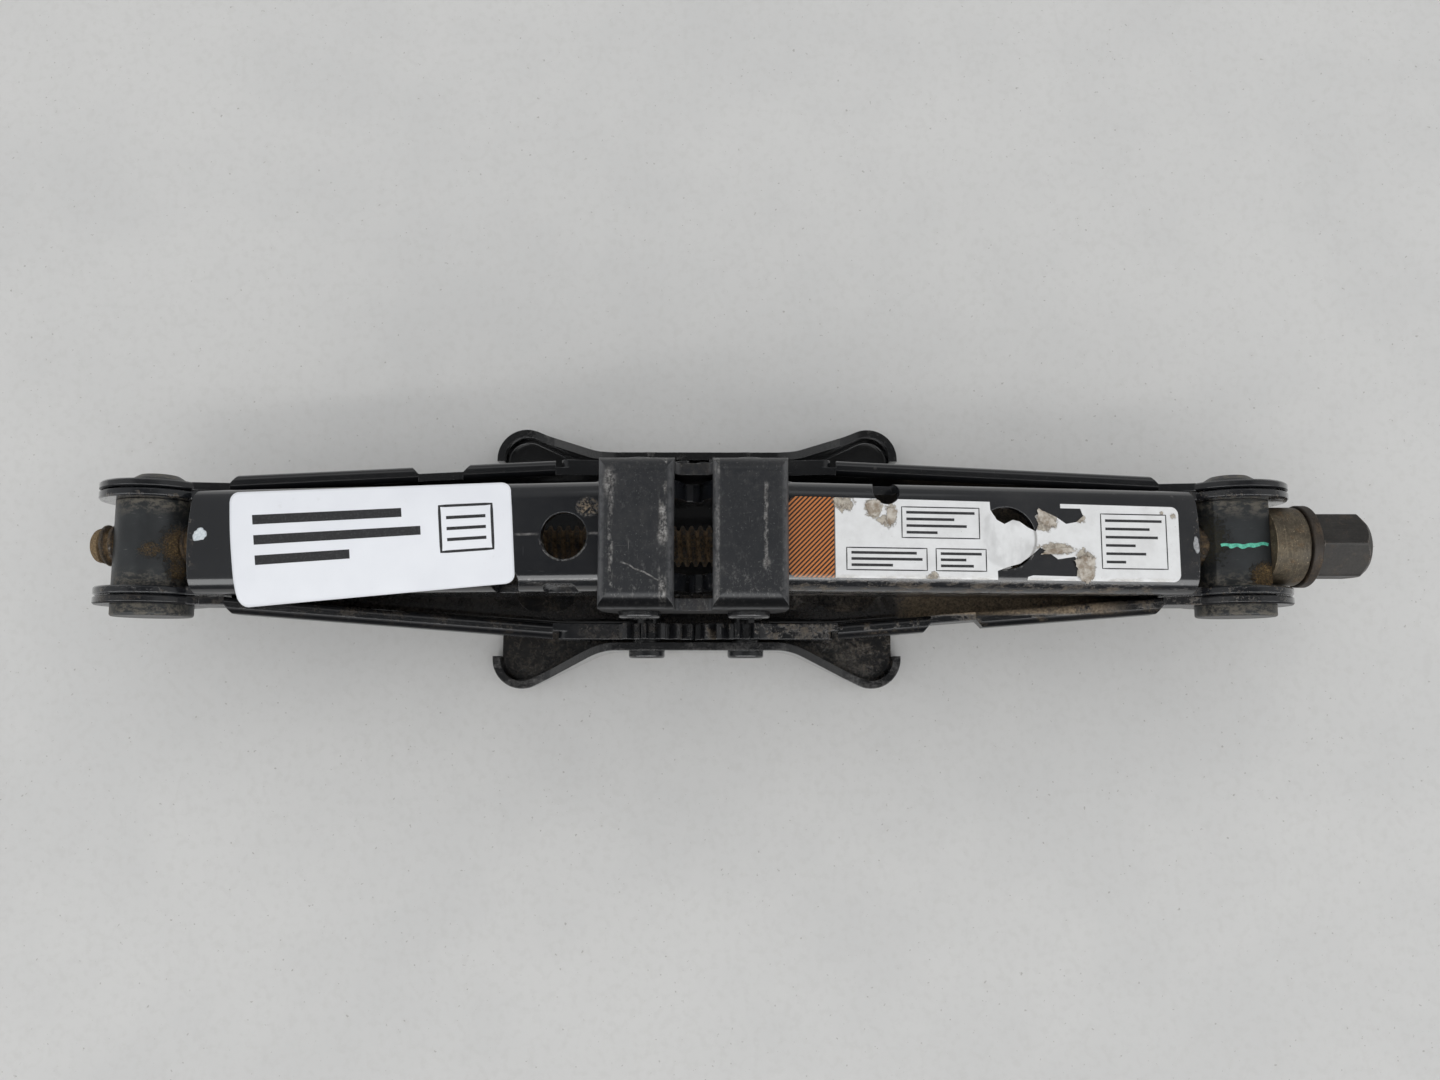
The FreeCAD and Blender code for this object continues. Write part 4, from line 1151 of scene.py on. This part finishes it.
TORN = torn_paper()
for letter, *shape in FLAPS:
    make_flap(f"torn_flap_{letter}", *shape, TORN)


# ------------------------------------------------------------- hand paint marks
BLOT_POINTS, BLOT_RINGS = 40, 5
BLOT_THICKNESS, BLOT_LIFT = 0.06, 0.015
BLOT_RIPPLES = ((2, 0.10), (3, 0.08), (5, 0.05), (9, 0.04))     # waves per turn, height


def make_blot(name, side, centre, radii, material, body, seed):
    """Uneven dot of paint on an upper arm's web."""
    def web_point(along, y, lift):
        return arm_point(side, along, y, WEB_TOP + lift)

    rng = random.Random(seed)
    # five phases are drawn, the ripples use the first four
    phases = [rng.uniform(0, 6.28) for _ in range(5)]
    n = BLOT_POINTS
    verts = [web_point(*centre, BLOT_LIFT + BLOT_THICKNESS)]
    for j in range(1, BLOT_RINGS + 1):
        f = j / BLOT_RINGS
        height = BLOT_LIFT + BLOT_THICKNESS * (1 - f ** 4) + 0.006
        for i in range(n):
            angle = 2 * math.pi * i / n
            ripple = 1 + sum(size * math.sin(waves * angle + phase)
                             for (waves, size), phase in zip(BLOT_RIPPLES, phases))
            verts.append(web_point(centre[0] + radii[0] * f * ripple * math.cos(angle),
                                   centre[1] + radii[1] * f * ripple * math.sin(angle), height))
    faces = [(0, 1 + i, 1 + (i + 1) % n) for i in range(n)]
    faces += ring_faces(1, BLOT_RINGS, n)
    # underside
    under = len(verts)
    rim = under - n
    verts.append(web_point(*centre, BLOT_LIFT))
    faces += [(under, rim + (i + 1) % n, rim + i) for i in range(n)]
    new_piece(name, verts, faces, material, body)


WHITE_MARK = marker_finish("white_paint_mark", (0.50, 0.56, 0.60), (0.72, 0.76, 0.78))
GREEN_MARK = marker_finish("green_paint_mark", (0.05, 0.36, 0.25), (0.16, 0.62, 0.45))
GREY_MARK = marker_finish("worn_paint_mark", (0.20, 0.20, 0.21), (0.42, 0.43, 0.44))
make_blot("paint_dot_left", LEFT, (143.4, 1.9), (2.35, 2.2), WHITE_MARK, "left_upper",
          seed=11)
make_blot("paint_dot_right", RIGHT, (146.4, -1.2), (1.0, 2.9), GREY_MARK, "right_upper",
          seed=12)


def block_top(x, y, lift):
    """A point on top of the right trunnion block."""
    return (TRUNNION_X + x, y, TRUNNION_Z + 8.7 + lift)


def paint_green_lines():
    """Two wavering lines side by side along X, the second thinner."""
    line = []
    for k in range(27):
        t = k / 26.0
        waver = 0.18 * math.sin(9 * t + 0.4) + 0.15 * math.sin(23 * t)
        line.append((-7.7 + 15.9 * t, -0.6 + waver + 0.45 * t))
    ribbons("paint_line_green", [(line, 1.0)], block_top, GREEN_MARK, "block",
            thickness=0.05)
    lower = [(x + 0.3, y - 0.55 + 0.25 * math.sin(x * 1.7)) for x, y in line[4:22]]
    ribbons("paint_line_green_lower", [(lower, 0.55)], block_top, GREEN_MARK, "block",
            thickness=0.045)


paint_green_lines()


# ------------------------------------------------------------- stage, in metres
def make_floor():
    bpy.ops.mesh.primitive_grid_add(x_subdivisions=8, y_subdivisions=8, size=8.0,
                                    location=(0, 0, -0.0002))
    floor = bpy.context.object
    floor.name = "floor"
    floor.data.materials.append(floor_finish())


def make_world():
    """Even light; only reflections see a dim room with one broad window toward -Y."""
    world = bpy.data.worlds.new("studio")
    scene.world = world
    world.use_nodes = True
    graph = Graph(world.node_tree)
    coords = graph.node("TexCoord")
    _, y, z = graph.split(Field(graph, coords.outputs["Generated"]))
    front = y * -1.0
    overhead = z.ramp(0.84, 0.945, at_a=0.34, at_b=0.09)
    window = front.ramp(0.15, 0.23) * (front * -1.0).ramp(-0.70, -0.62) * z.ramp(0.25, 0.40)
    room = overhead * front.ramp(0.66, 0.78, at_a=1.0, at_b=0.35) + window * 2.7
    glossy = Field(graph, graph.node("LightPath").outputs["Is Glossy Ray"])
    level = (1.0 - glossy) * 0.86 + glossy * room
    tint = graph.node("VectorMath", operation="SCALE")
    tint.inputs[0].default_value = (0.985, 0.995, 1.0)
    graph.put(tint.inputs["Scale"], level)
    background = graph.node("Background")
    background.inputs[1].default_value = 1.0
    output = graph.node("OutputWorld")
    graph.tree.links.new(tint.outputs[0], background.inputs[0])
    graph.tree.links.new(background.outputs[0], output.inputs[0])
    world.cycles.sampling_method = "NONE"


def add_softbox(name, location, target, width, height, power, color):
    data = bpy.data.lights.new(name, "AREA")
    data.shape = "RECTANGLE"
    data.size = width
    data.size_y = height
    data.energy = power
    data.color = color
    light = bpy.data.objects.new(name, data)
    scene.collection.objects.link(light)
    light.location = location
    aim = Vector(target) - Vector(location)
    light.rotation_euler = aim.to_track_quat("-Z", "Y").to_euler()


def turned(first, second, angle):
    """Two perpendicular directions turned in their own plane, first toward second."""
    cos, sin = math.cos(angle), math.sin(angle)
    return first * cos + second * sin, second * cos - first * sin


def make_camera():
    """Looks almost straight down, leaning 7 degrees toward +Y."""
    tilt, yaw, roll = 0.12180, 0.00541, 0.00086     # radians
    data = bpy.data.cameras.new("camera")
    data.sensor_width = 36.0
    data.lens = 28.124
    data.clip_start = 0.01
    camera = bpy.data.objects.new("camera", data)
    scene.collection.objects.link(camera)
    right = Vector((1, 0, 0))
    up = Vector((0, math.cos(tilt), math.sin(tilt)))
    view = Vector((0, math.sin(tilt), -math.cos(tilt)))
    right, view = turned(right, view, -yaw)
    right, up = turned(right, up, roll)
    pose = Matrix((right, up, -view)).transposed().to_4x4()
    pose.translation = Vector((0.0063, -0.0444, 0.4261))
    camera.matrix_world = pose
    scene.camera = camera


make_floor()
make_world()
add_softbox("softbox_front", location=(0.10, -0.80, 1.22), target=(0, 0, 0.05),
            width=1.5, height=0.11, power=2.2, color=(1.0, 0.985, 0.965))
add_softbox("softbox_back", location=(0.10, 1.10, 1.25), target=(0, 0, 0.03),
            width=1.4, height=0.5, power=0.8, color=(0.97, 0.985, 1.0))
make_camera()
scene.view_settings.view_transform = "Standard"
scene.view_settings.look = "None"
